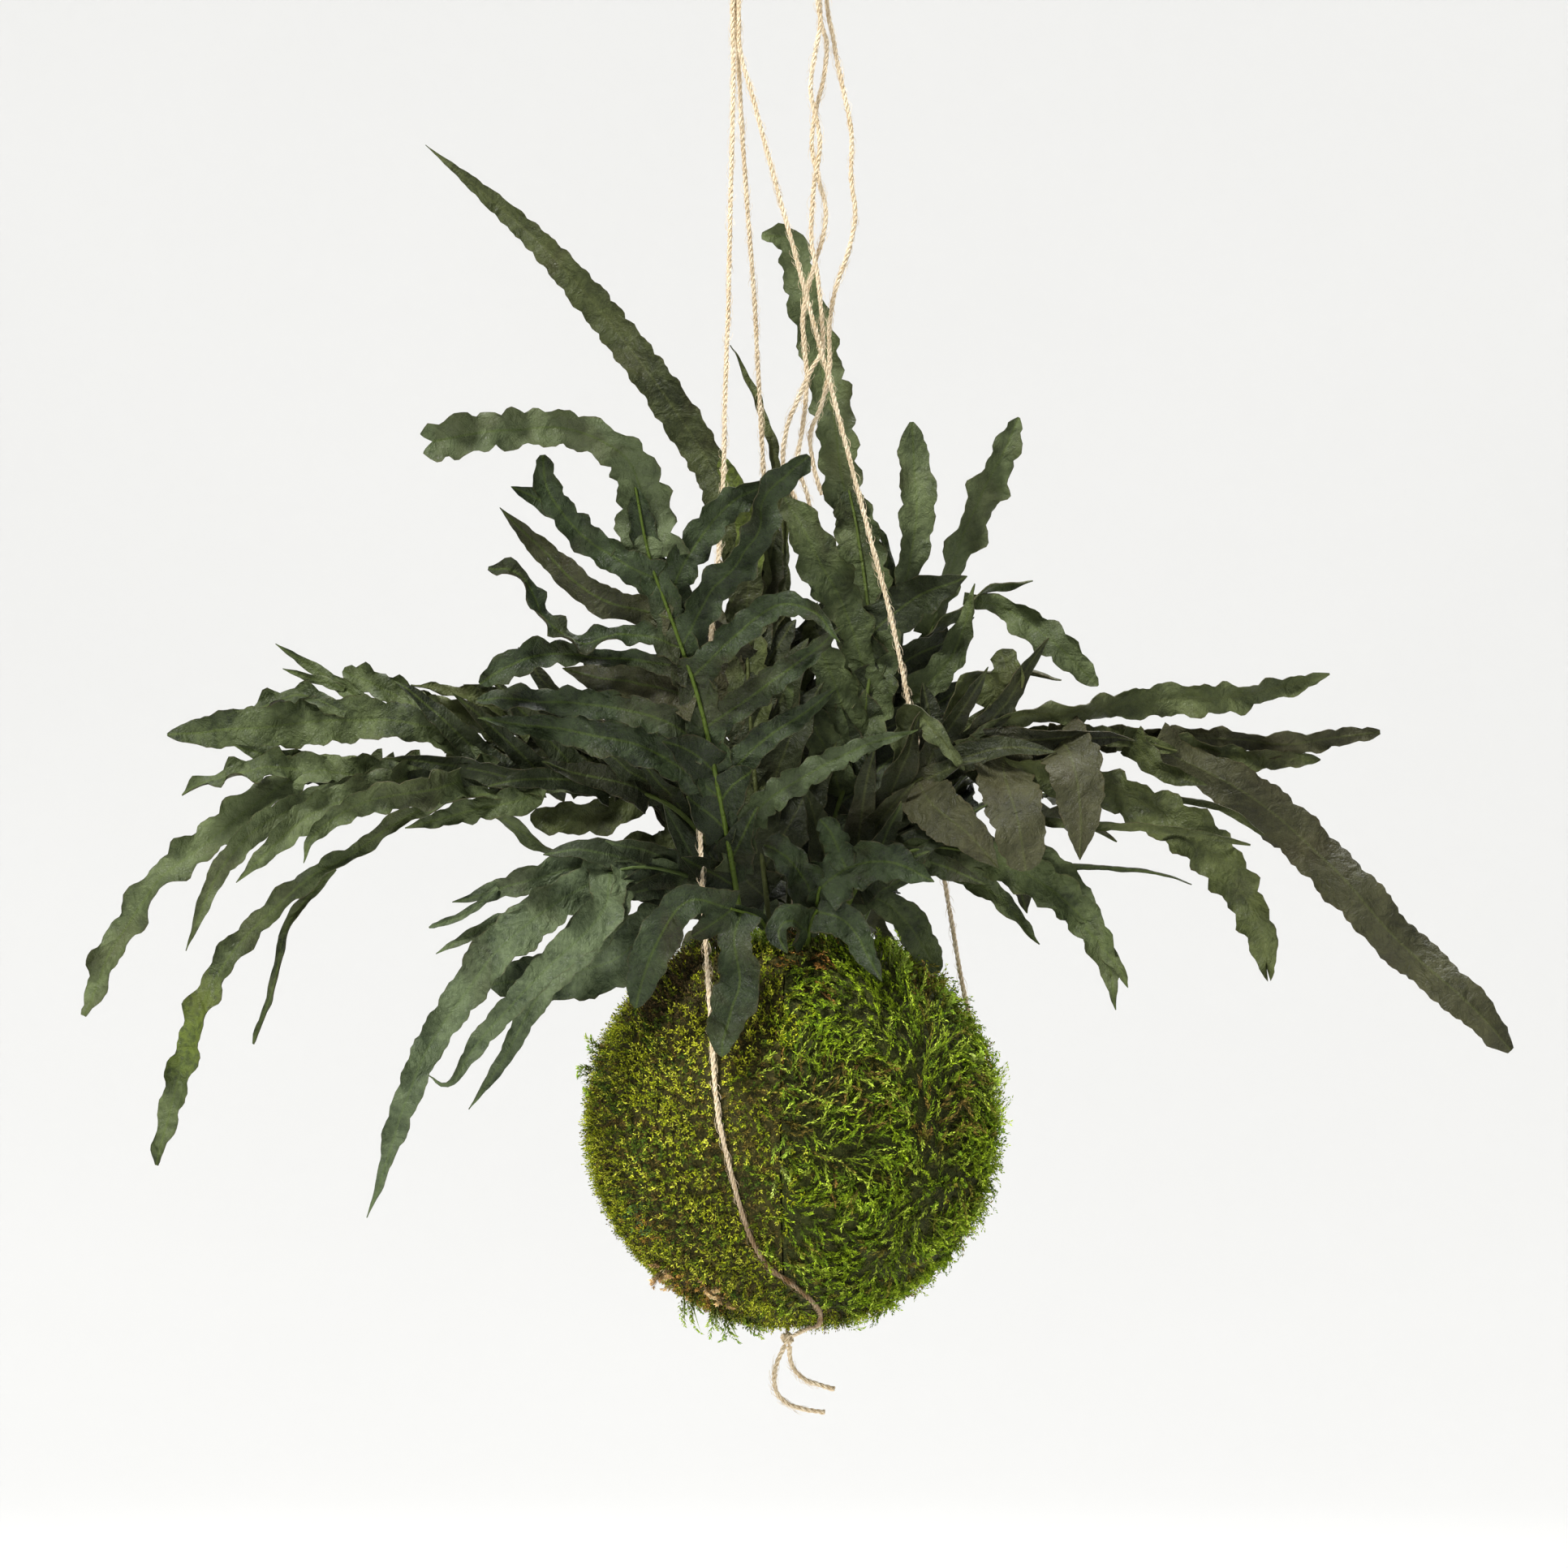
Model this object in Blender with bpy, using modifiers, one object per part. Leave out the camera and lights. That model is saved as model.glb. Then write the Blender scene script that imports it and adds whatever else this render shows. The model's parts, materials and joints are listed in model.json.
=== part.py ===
"""Kokedama: a lobed fern planted in a moss ball, which hangs in jute twine.

The origin is the inside of the hanging loop at its top, where the loop bears on a hook.
The tables below are in millimetres from the centre of the ball: X to the right, Y away from
the front and Z up.  Each frond is a thin winged stem with flat lobes growing out of it.
"""

import math
from collections import namedtuple

import bmesh
import bpy
from mathutils import Matrix, Quaternion, Vector

MM = 0.001

# The ball
BALL_CENTRE = (20, 0, -490)       # from the hanging loop's bearing point
SOIL_RADIUS = 62.0
MOSS_INNER_RADIUS = 62.8
MOSS_OUTER_RADIUS = 72.0
CROWN_ANGLE = 30.0                # degrees from straight up: the open top of the moss
BASE_ANGLE = 152.0                # degrees from straight up: where the base patch starts
PATCH_GAP = 0.5                   # degrees between neighbouring moss sheets
REST_HEIGHT = -70.0               # the spot pressed flat under the ball
ARC_STEP = 12.0                   # degrees between rings on round pieces
SOIL_SEGMENTS = 24                # around the ball of soil
SOIL_RINGS = 14                   # from the top of the ball of soil to its bottom
RIM_MARGIN = 1.0                  # the least step from the flat spot's edge to the next ring

MOSS_BASE_COLOUR = (0.11, 0.13, 0.05, 1.0)

# The moss sheets around the ball: name, first and last azimuth in degrees, colour
MOSS_SHEETS = (
    ("moss_left", 145.0, 267.0, (0.16, 0.20, 0.05, 1.0)),
    ("moss_right", 267.0, 395.0, (0.13, 0.26, 0.05, 1.0)),
    ("moss_back", 35.0, 145.0, (0.14, 0.20, 0.05, 1.0)),
)

# The fronds
ROOT_HEIGHT = 46.0                # the stems' lower ends, inside the soil
NECK_HEIGHT = 62.0                # where the stems leave the soil
STEM_RADIUS = 1.4
STEM_TIP_SHARE = 0.6              # the stem's radius at its tip over its radius at the root
SOCKET_RADIUS = 2.1
SOCKET_SIDES = 8
SOCKET_TOP = 72.0                 # where the sockets' cutters end, above the soil
STEM_STEP = 18.0                  # between rings along a stem
LOBE_STEP = 18.0                  # between rows along a lobe
LEAST_SPANS = 4                   # between the first and the last row of a short lobe or a wing
SAMPLES_PER_SPAN = 8              # when a smooth route is measured
BLADE_THICKNESS = 0.9
TIP_WIDTH = 0.8                   # the narrowest that a blade gets
FRONT = Vector((0, -1, 0))
UP_AND_BACK = Vector((0, 0.45, 1))

# The twine
TWINE_RADIUS = 0.9
LOOP_RADIUS = 1.3
TAIL_RADIUS = 0.6
SEAT_GAP = 0.3
TOP_KNOT = (-20, 0, 449)
TOP_KNOT_RADIUS = 5.5
TOP_KNOT_HEIGHT = 12.0
TOP_KNOT_SIDES = 16
TOP_KNOT_ROUNDING = 1.2
BOTTOM_KNOT = (-1.5, -4, -76.6)
BOTTOM_KNOT_RADIUS = 2.5
BOTTOM_KNOT_SEGMENTS = 14
BOTTOM_KNOT_RINGS = 10

GREEN = (0.10, 0.17, 0.10, 1.0)
OLIVE = (0.17, 0.16, 0.09, 1.0)
SOIL = (0.07, 0.045, 0.03, 1.0)
JUTE = (0.42, 0.30, 0.17, 1.0)

# A blade's outline: pairs of the place along it and the share of its full width
STRAP = ((0, 0.55), (0.2, 0.95), (0.5, 1.0), (0.85, 0.8), (1, 0.3))
SPEAR = ((0, 0.6), (0.3, 1.0), (0.6, 0.85), (0.85, 0.45), (1, 0))
BELLY = ((0, 0.35), (0.35, 0.8), (0.6, 1.0), (0.85, 0.7), (1, 0.1))
CLUB = ((0, 0.5), (0.35, 0.55), (0.7, 1.0), (0.9, 0.85), (1, 0.15))
TAIL = ((0, 0.6), (0.25, 1.0), (0.5, 0.65), (0.8, 0.45), (1, 0))
WAIST = ((0, 0.9), (0.15, 1.0), (0.4, 0.58), (0.7, 0.6), (0.9, 0.65), (1, 0.35))

# A lobe starts at a share of its stem's length, or at None in the blade of a neighbouring lobe.
# Its turn is how far the blade leans out of the frond's plane, in degrees at its base and its tip.
Lobe = namedtuple("Lobe", "name start points width outline turn", defaults=((0, 0),))
Frond = namedtuple("Frond", "name colour socket stem wing facing lobes")

FRONDS = (
    Frond("frond_front", GREEN, (-16, -23),
          ((-17, -36, 70), (-23, -54, 107), (-31, -64, 147), (-40, -67, 175), (-49, -69, 200),
           (-54, -71, 225)),
          (0.2, 1.0, 10), FRONT, (
        Lobe("terminal", 0.86, ((-53, -71, 227), (-62, -74, 239), (-80, -79, 245), (-105, -85, 243),
                                (-127, -90, 239)), 20, WAIST),
        Lobe("left_1", 0.82, ((-60, -71, 200), (-74, -72, 210), (-84, -74, 223), (-86, -75, 236)), 11,
                              STRAP, (0, 20)),
        Lobe("left_1_spike", None, ((-79, -72, 215), (-88, -73, 221), (-97, -74, 225)), 7, SPEAR),
        Lobe("left_2", 0.74, ((-65, -67, 187), (-86, -69, 203), (-101, -71, 218)), 11, SPEAR),
        Lobe("left_3", 0.68, ((-55, -69, 174), (-73, -71, 172), (-85, -73, 181), (-94, -74, 193),
                              (-105, -75, 196)), 8, STRAP, (30, 50)),
        Lobe("left_4", 0.64, ((-61, -67, 166), (-82, -70, 168), (-98, -72, 163), (-108, -73, 157)), 11,
                              CLUB, (20, 0)),
        Lobe("left_5", 0.58, ((-45, -60, 155), (-62, -57, 158), (-80, -56, 163)), 15, SPEAR),
        Lobe("left_6", 0.48, ((-50, -62, 146), (-80, -64, 151), (-109, -66, 150)), 11, STRAP, (0, 15)),
        Lobe("left_7", 0.38, ((-45, -61, 132), (-66, -62, 139), (-109, -65, 145)), 14, SPEAR),
        Lobe("right_1", 0.76, ((-37, -71, 199), (-22, -72, 219), (-8, -74, 226)), 12, STRAP),
        Lobe("right_2", 0.68, ((-28, -73, 188), (-14, -77, 206), (-8, -80, 221), (6, -84, 235)), 13,
                               STRAP, (0, 20)),
        Lobe("right_3", 0.62, ((-20, -72, 173), (-5, -78, 184), (8, -84, 181), (17, -87, 171)), 11, SPEAR,
                               (0, 15)),
        Lobe("right_4", 0.52, ((-15, -67, 152), (3, -74, 165), (18, -79, 177)), 11, SPEAR),
        Lobe("right_5", 0.40, ((-10, -63, 137), (7, -68, 149), (16, -70, 156)), 10, SPEAR),
        Lobe("right_6", 0.22, ((-13, -58, 112), (3, -64, 124), (24, -71, 135), (44, -76, 141)), 11, SPEAR,
                               (30, 0)),
    )),
    Frond("frond_tall_left", OLIVE, (-6, -2),
          ((-8, 0, 74), (-12, 4, 112), (-15, 8, 150), (-17, 11, 189), (-21, 12, 206)),
          (0.35, 1.0, 12), FRONT, (
        Lobe("terminal", 0.9, ((-25, 13, 224), (-31, 14, 240), (-50, 16, 269), (-80, 19, 307),
                               (-98, 21, 325), (-115, 23, 340), (-133, 25, 355)), 13, SPEAR),
        Lobe("low_left", 0.25, ((-22, 6, 112), (-31, 8, 130)), 16, SPEAR),
        Lobe("low_right", 0.3, ((0, 8, 116), (6, 9, 130)), 16, SPEAR),
        Lobe("right_1", 0.73, ((-9, 14, 183), (-6, 15, 196), (-9, 16, 218)), 10, STRAP),
        Lobe("left_1", 0.55, ((-23, 12, 164), (-28, 13, 180), (-31, 14, 189)), 12, STRAP),
        Lobe("right_2", 0.82, ((-15, 6, 208), (-18, 5, 224), (-25, 4, 240)), 10, STRAP),
    )),
    Frond("frond_upright_right", GREEN, (6, 4),
          ((7, 6, 74), (13, 9, 102), (22, 12, 130), (28, 15, 158), (28, 17, 184), (24, 19, 214),
           (21, 20, 229)),
          (0.4, 1.0, 16), FRONT, (
        Lobe("terminal", 0.86, ((19, 20, 230), (15, 22, 257), (10, 24, 281), (4, 26, 304), (0, 26, 320),
                                (-10, 22, 322)), 15, STRAP),
        Lobe("left_1", 0.57, ((21, 10, 182), (10, 6, 203), (-2, 4, 226)), 18, BELLY),
        Lobe("left_2", 0.44, ((17, 7, 155), (9, 5, 175)), 15, STRAP),
        Lobe("left_3", 0.34, ((10, 5, 140), (-4, 3, 161)), 14, SPEAR),
        Lobe("right_1", 0.66, ((34, 20, 192), (35, 20, 207), (30, 20, 218)), 9, SPEAR, (20, 40)),
        Lobe("right_2", 0.51, ((35, 20, 166), (40, 21, 187), (45, 21, 218), (45, 21, 239), (44, 21, 254)),
                               13, CLUB, (50, 0)),
    )),
    Frond("frond_right_forked", GREEN, (18, 10),
          ((18, 13, 77), (24, 19, 102), (33, 26, 129), (43, 30, 157), (52, 33, 180)),
          (0.4, 1.0, 8), FRONT, (
        Lobe("terminal", 0.97, ((57, 32, 200), (66, 30, 219), (75, 28, 238), (83, 28, 256)), 15, BELLY,
                                (30, 0)),
        Lobe("right_1", 0.95, ((65, 26, 191), (88, 22, 195)), 7, SPEAR, (40, 50)),
        Lobe("right_2", None, ((63, 27, 190), (80, 23, 185), (96, 19, 173), (111, 15, 158)), 13, BELLY,
                               (20, 0)),
        Lobe("right_3", 0.66, ((47, 22, 155), (59, 20, 170), (67, 18, 195)), 12, SPEAR),
        Lobe("left_1", 0.6, ((33, 25, 155), (36, 28, 168), (39, 28, 180)), 10, SPEAR, (20, 0)),
    )),
    Frond("frond_right_twisted", OLIVE, (24, -4),
          ((25, -8, 78), (35, -14, 102), (50, -20, 128), (62, -20, 141), (72, -20, 150)),
          (0.5, 1.0, 5), FRONT, (
        Lobe("terminal", 0.98, ((75, -20, 158), (77, -21, 163), (74, -22, 170)), 13, STRAP),
        Lobe("hanging", 0.96, ((80, -16, 136), (90, -14, 117)), 9, SPEAR, (20, 0)),
        Lobe("right_1", 0.7, ((62, -15, 158), (76, -14, 164), (96, -14, 158)), 7, SPEAR, (50, 60)),
        Lobe("arched", 0.42, ((38, -26, 127), (41, -31, 147), (51, -36, 141), (61, -37, 127)), 11, BELLY,
                              (50, 0)),
    )),
    Frond("frond_long_right", OLIVE, (14, -6),
          ((14, -12, 78), (23, -22, 98), (38, -28, 118), (62, -29, 133), (90, -27, 139), (115, -24, 139),
           (137, -21, 134)),
          (0.4, 1.0, 6), FRONT, (
        Lobe("terminal", 0.95, ((163, -21, 118), (189, -22, 96), (213, -26, 69), (238, -30, 46),
                                (255, -30, 28)), 16, STRAP),
        Lobe("upper_1", 0.55, ((79, -32, 145), (108, -22, 150), (144, -10, 153), (178, 0, 157),
                               (194, 4, 162)), 12, BELLY, (20, 0)),
        Lobe("upper_2", 0.72, ((107, -20, 140), (143, -14, 138), (185, -6, 138), (212, 0, 141)), 9, STRAP,
                               (20, 0)),
        Lobe("upper_3", 0.88, ((135, -16, 137), (161, -10, 132), (190, -6, 131)), 9, BELLY, (30, 0)),
        Lobe("lower_1", 0.55, ((82, -34, 126), (117, -38, 118), (145, -41, 101), (163, -42, 75),
                               (168, -40, 53)), 18, BELLY),
        Lobe("lower_2", 0.9, ((132, -28, 127), (147, -31, 122)), 8, SPEAR, (20, 0)),
        Lobe("hanging_1", 0.74, ((98, -38, 133), (101, -51, 114), (101, -54, 96)), 16, SPEAR),
        Lobe("hanging_2", 0.64, ((75, -38, 127), (79, -51, 109), (82, -54, 92)), 16, STRAP),
        Lobe("hanging_3", 0.44, ((49, -40, 116), (62, -51, 105), (72, -55, 93)), 15, SPEAR),
        Lobe("thin_1", 0.66, ((90, -31, 124), (107, -33, 119), (149, -34, 115), (167, -34, 104)), 3.5,
                              STRAP, (0, 40)),
        Lobe("thin_2", 0.55, ((73, -33, 115), (90, -42, 109), (127, -46, 107), (161, -47, 101)), 3.5,
                              STRAP, (0, 40)),
    )),
    Frond("frond_lower_right", GREEN, (20, -16),
          ((19, -22, 76), (26, -32, 89), (37, -38, 97), (50, -40, 100), (60, -41, 99)),
          (0.5, 1.0, 6), FRONT, (
        Lobe("terminal", 0.98, ((82, -43, 91), (102, -45, 76), (112, -45, 57), (114, -45, 43)), 15,
                                SPEAR),
        Lobe("second_tip", None, ((103, -45, 72), (114, -47, 59), (118, -47, 51)), 6, SPEAR),
        Lobe("upper", 0.96, ((76, -38, 98), (92, -39, 91), (107, -41, 74)), 14, STRAP, (10, 0)),
        Lobe("inner", 0.85, ((64, -36, 88), (76, -36, 79), (88, -36, 66)), 9, SPEAR),
        Lobe("over_ball", 0.3, ((29, -26, 82), (37, -22, 77), (46, -17, 66), (53, -12, 54)), 13, BELLY),
        Lobe("thin", 0.25, ((32, -26, 85), (53, -24, 93), (93, -27, 93), (129, -27, 91), (142, -27, 87)),
                            5, TAIL, (0, 40)),
    )),
    Frond("frond_low_right", GREEN, (12, -19),
          ((11, -32, 71), (9, -40, 80), (10, -46, 86)),
          (0.5, 1.0, 6), FRONT, (
        Lobe("terminal", 0.98, ((20, -48, 93), (35, -52, 95), (50, -54, 88)), 17, SPEAR),
        Lobe("flap", None, ((19, -48, 93), (14, -48, 105), (10, -48, 110)), 10, STRAP),
        Lobe("crumpled", 0.75, ((3, -44, 91), (-5, -46, 98), (-10, -46, 100)), 13, STRAP, (0, 20)),
    )),
    Frond("frond_ball_right", OLIVE, (5, -27),
          ((6, -36, 67), (7, -41, 74), (9, -44, 78)),
          (0.5, 1.0, 5), FRONT, (
        Lobe("terminal", 0.98, ((19, -47, 74), (27, -52, 62), (32, -57, 53)), 11, SPEAR),
        Lobe("stub", 0.6, ((-1, -51, 74), (-4, -55, 70), (-1, -58, 63)), 13, SPEAR),
    )),
    Frond("frond_ball_front", GREEN, (-6, -27),
          ((-7, -40, 67), (-11, -52, 75), (-21, -64, 79)),
          (0.5, 1.0, 4), FRONT, (
        Lobe("drooping", 0.88, ((-20, -66, 68), (-18, -69, 54), (-22, -72, 42), (-24, -76, 28)), 16,
                                BELLY),
        Lobe("stub", 0.98, ((-28, -66, 74), (-35, -67, 70)), 8, STRAP),
        Lobe("left", 0.97, ((-35, -70, 82), (-45, -70, 71), (-52, -63, 53), (-54, -60, 45)), 15, BELLY),
    )),
    Frond("frond_left_low", GREEN, (-25, -12),
          ((-26, -20, 75), (-32, -30, 87), (-44, -40, 92), (-56, -44, 93), (-67, -47, 90)),
          (0.5, 1.0, 6), FRONT, (
        Lobe("upper", 0.78, ((-67, -43, 95), (-90, -45, 89), (-119, -47, 81)), 12, SPEAR),
        Lobe("upper_tail", None, ((-103, -46, 86), (-114, -48, 77), (-127, -48, 72)), 3, STRAP),
        Lobe("terminal", 0.98, ((-89, -56, 76), (-110, -63, 54), (-126, -66, 31), (-134, -68, 11),
                                (-147, -69, -28)), 17, TAIL),
        Lobe("lower_1", 0.95, ((-66, -64, 77), (-85, -71, 58), (-104, -73, 38), (-118, -73, 20),
                               (-125, -73, 22)), 14, TAIL),
        Lobe("lower_2", 0.85, ((-64, -56, 74), (-87, -62, 50), (-101, -64, 25), (-112, -64, 9)), 10,
                               SPEAR),
        Lobe("broad", 0.55, ((-50, -44, 72), (-62, -46, 60), (-80, -49, 56), (-106, -53, 52)), 21, BELLY),
        Lobe("spike", None, ((-92, -56, 78), (-110, -56, 71), (-124, -56, 63)), 5, SPEAR),
    )),
    Frond("frond_far_left", GREEN, (-18, -4),
          ((-18, -8, 75), (-29, -18, 100), (-47, -28, 117), (-75, -34, 122), (-107, -37, 125),
           (-147, -41, 127)),
          (0.45, 1.0, 6), FRONT, (
        Lobe("terminal", 0.98, ((-171, -45, 125), (-199, -49, 107), (-226, -51, 82), (-239, -50, 63),
                                (-247, -48, 41)), 16, STRAP, (0, 15)),
        Lobe("upper_1", 0.77, ((-125, -35, 141), (-156, -36, 145), (-190, -38, 142), (-220, -39, 140)),
                               17, BELLY),
        Lobe("upper_2", 0.9, ((-150, -45, 125), (-169, -46, 128), (-196, -46, 136)), 13, SPEAR),
        Lobe("ruffled", None, ((-166, -46, 127), (-189, -54, 128), (-212, -56, 117)), 11, SPEAR,
                               (20, 40)),
        Lobe("lower_1", 0.95, ((-158, -52, 119), (-185, -57, 108), (-200, -58, 91), (-211, -58, 64)), 10,
                               SPEAR),
        Lobe("lower_2", 0.9, ((-143, -57, 121), (-165, -62, 113), (-180, -64, 101), (-193, -64, 88)), 13,
                              SPEAR),
        Lobe("lower_3", 0.77, ((-125, -58, 121), (-148, -67, 116), (-165, -70, 105), (-169, -70, 95)), 12,
                               SPEAR),
        Lobe("long", 0.66, ((-104, -44, 120), (-137, -49, 110), (-159, -51, 94), (-191, -54, 69),
                            (-207, -55, 39), (-216, -53, 14), (-221, -52, -11)), 13, CLUB, (20, 0)),
        Lobe("tendril", None, ((-160, -51, 93), (-175, -50, 74), (-181, -49, 54), (-188, -48, 31)), 4,
                               STRAP, (0, 40)),
        Lobe("lower_4", 0.68, ((-94, -40, 117), (-117, -42, 112), (-136, -42, 107)), 10, SPEAR),
        Lobe("twisted", None, ((-107, -41, 115), (-90, -37, 103), (-68, -37, 95)), 6, STRAP, (20, 50)),
        Lobe("spike_1", None, ((-142, -35, 145), (-163, -27, 159), (-183, -21, 172)), 6, SPEAR),
        Lobe("spike_2", None, ((-158, -29, 156), (-180, -26, 163)), 3.5, SPEAR),
        Lobe("curled", None, ((-121, -35, 139), (-138, -28, 153), (-159, -25, 162)), 12, STRAP, (0, 40)),
        Lobe("frill", None, ((-157, -36, 148), (-179, -33, 154), (-201, -33, 145)), 8, STRAP, (30, 50)),
    )),
    Frond("frond_left_upper", OLIVE, (-24, 6),
          ((-25, 8, 77), (-33, 3, 103), (-51, -5, 126), (-80, -14, 139), (-108, -20, 144)),
          (0.45, 1.0, 6), FRONT, (
        Lobe("terminal", 0.97, ((-128, -22, 151), (-143, -22, 156)), 9, SPEAR),
        Lobe("upper_1", 0.88, ((-108, -22, 151), (-135, -24, 158)), 6, SPEAR, (40, 50)),
        Lobe("upper_2", 0.66, ((-78, -10, 146), (-96, -13, 151), (-113, -15, 151)), 11, STRAP),
        Lobe("lower_1", 0.66, ((-81, -15, 128), (-102, -19, 128), (-123, -23, 132)), 13, STRAP),
        Lobe("lower_2", 0.55, ((-60, -8, 115), (-76, -10, 110), (-93, -13, 110)), 13, STRAP),
        Lobe("lower_3", 0.38, ((-43, -1, 100), (-55, -5, 99), (-63, -6, 97)), 12, STRAP),
    )),
    Frond("frond_back_spike", OLIVE, (-2, 14),
          ((-1, 20, 74), (-1, 26, 112), (-2, 30, 157), (-3, 32, 207), (-3, 32, 228)),
          (0.5, 1.0, 4), FRONT, (
        Lobe("terminal", 0.97, ((-7, 32, 244), (-11, 32, 259), (-17, 32, 274), (-22, 32, 283)), 4, SPEAR,
                                (0, 40)),
        Lobe("right", 0.55, ((6, 33, 172), (10, 35, 189)), 10, SPEAR),
        Lobe("left", 0.5, ((-12, 33, 156), (-17, 35, 173)), 11, SPEAR),
        Lobe("low_right", 0.35, ((11, 32, 116), (18, 33, 134)), 15, SPEAR),
        Lobe("low_left", 0.3, ((-14, 30, 112), (-27, 31, 128)), 15, SPEAR),
    )),
    Frond("frond_back_left", GREEN, (-14, 20),
          ((-16, 24, 66), (-26, 42, 97), (-42, 64, 125), (-62, 88, 140), (-85, 112, 142)),
          (0.4, 1.0, 7), UP_AND_BACK, (
        Lobe("terminal", 0.97, ((-102, 130, 136), (-118, 146, 128), (-130, 157, 118)), 14, SPEAR),
        Lobe("left_1", 0.62, ((-70, 72, 132), (-86, 74, 129), (-100, 76, 120)), 14, SPEAR),
        Lobe("right_1", 0.62, ((-40, 92, 140), (-36, 108, 143), (-35, 124, 140)), 14, SPEAR),
        Lobe("left_2", 0.82, ((-94, 96, 138), (-110, 99, 131), (-122, 103, 123)), 13, SPEAR),
        Lobe("right_2", 0.82, ((-68, 118, 144), (-65, 134, 143), (-63, 148, 137)), 13, SPEAR),
    )),
    Frond("frond_back_middle", GREEN, (4, 26),
          ((5, 34, 66), (7, 52, 100), (9, 76, 134), (9, 105, 156), (7, 135, 163)),
          (0.4, 1.0, 7), UP_AND_BACK, (
        Lobe("terminal", 0.97, ((4, 155, 158), (2, 174, 148), (0, 188, 135)), 15, SPEAR),
        Lobe("left_1", 0.55, ((-10, 88, 137), (-22, 104, 132), (-30, 119, 122)), 14, SPEAR),
        Lobe("right_1", 0.55, ((27, 88, 140), (44, 97, 138), (58, 105, 129)), 14, SPEAR),
        Lobe("left_2", 0.78, ((-12, 118, 156), (-28, 130, 150), (-40, 140, 140)), 14, SPEAR),
        Lobe("right_2", 0.78, ((27, 118, 156), (43, 128, 150), (55, 137, 141)), 14, SPEAR),
    )),
    Frond("frond_back_right", OLIVE, (20, 20),
          ((23, 27, 64), (35, 47, 88), (54, 70, 106), (78, 92, 116), (100, 110, 118)),
          (0.4, 1.0, 6), UP_AND_BACK, (
        Lobe("terminal", 0.97, ((112, 122, 117), (124, 132, 114), (134, 140, 109)), 14, SPEAR),
        Lobe("upper", 0.55, ((62, 86, 117), (71, 98, 123), (79, 108, 127)), 13, SPEAR),
        Lobe("lower_1", 0.62, ((74, 84, 98), (83, 87, 86), (88, 89, 73)), 14, SPEAR),
        Lobe("lower_2", 0.84, ((100, 97, 109), (112, 97, 105), (122, 95, 99)), 13, SPEAR),
    )),
    Frond("frond_back_low", GREEN, (-10, 26),
          ((-10, 37, 66), (-9, 51, 78), (-6, 64, 82)),
          (0.5, 1.0, 6), UP_AND_BACK, (
        Lobe("terminal", 0.97, ((0, 78, 72), (5, 88, 55), (7, 92, 36)), 15, SPEAR),
        Lobe("left", 0.8, ((-22, 72, 74), (-35, 79, 61), (-44, 82, 44)), 14, SPEAR),
        Lobe("right", 0.9, ((14, 68, 78), (31, 73, 67), (44, 75, 52)), 13, SPEAR),
    )),
)

# The twine's routes, each from its upper end to its lower one
TAUT_STRINGS = {
    "string_front": ((-21.1, -1, 442.7), (-21.1, -1, 420), (-21.1, -1, 395), (-20.8, -1.8, 380),
                     (-21, -4, 362), (-21.5, -8, 340), (-22, -12, 316), (-22.5, -17, 290),
                     (-23.5, -22, 262), (-24, -27, 234), (-25.5, -32, 206), (-28, -37, 178),
                     (-31, -42, 150), (-32, -48, 116), (-31, -54, 84), (-29, -60, 54), (-27.5, -64.5, 30),
                     (-25.5, -68.5, 8), (-22, -69.7, -8), (-18.5, -67.4, -22), (-14, -62.5, -36),
                     (-8, -57, -46), (1, -50.5, -53.5), (9, -38.5, -62), (10, -23, -69.3),
                     (6, -13.5, -72), (0.4, -6.3, -75.5)),
    "string_back": ((-20, 1.1, 442.7), (-20, 1.1, 420), (-19.8, 1.2, 395), (-19, 2, 382), (-17.5, 5, 354),
                    (-15.5, 9, 326), (-13.5, 13.5, 300), (-12, 18, 272), (-10.5, 22.5, 244),
                    (-9, 28, 214), (-7.5, 33, 184), (-5, 39, 150), (-2.5, 46, 112), (0, 53.5, 72),
                    (2, 62.8, 39.5), (3, 71.2, 20.5), (3.5, 73.2, 0), (3, 70.5, -20), (2, 61, -41),
                    (1, 46, -57.5), (0, 30, -67.2), (-0.5, 16, -71.7), (-1, 7, -72.6), (-1.4, -1.0, -75.5)),
    "string_right": ((-18.9, -1, 442.7), (-18.9, -1, 420), (-18.8, -1, 397), (-18.2, -1, 385),
                     (-13, -1, 366), (-7.5, -1, 345), (0.5, -1.5, 316), (8, -2, 288), (15, -2.5, 262),
                     (22, -3, 235), (29, -3.5, 208), (36, -4, 181), (43, -4, 148), (47.3, -3, 132),
                     (51, -1.5, 112), (54, 0, 94), (57.5, 2, 74), (61.5, 4, 51), (65.8, 8, 32.5),
                     (69.5, 14.5, 18.5), (69.8, 22, 4), (67, 27.5, -12), (60, 30, -30), (48, 28.5, -47.8),
                     (33, 22, -62), (17, 12, -71), (8, 3, -72.8), (1.0, -2.2, -75.6)),
}
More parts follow.
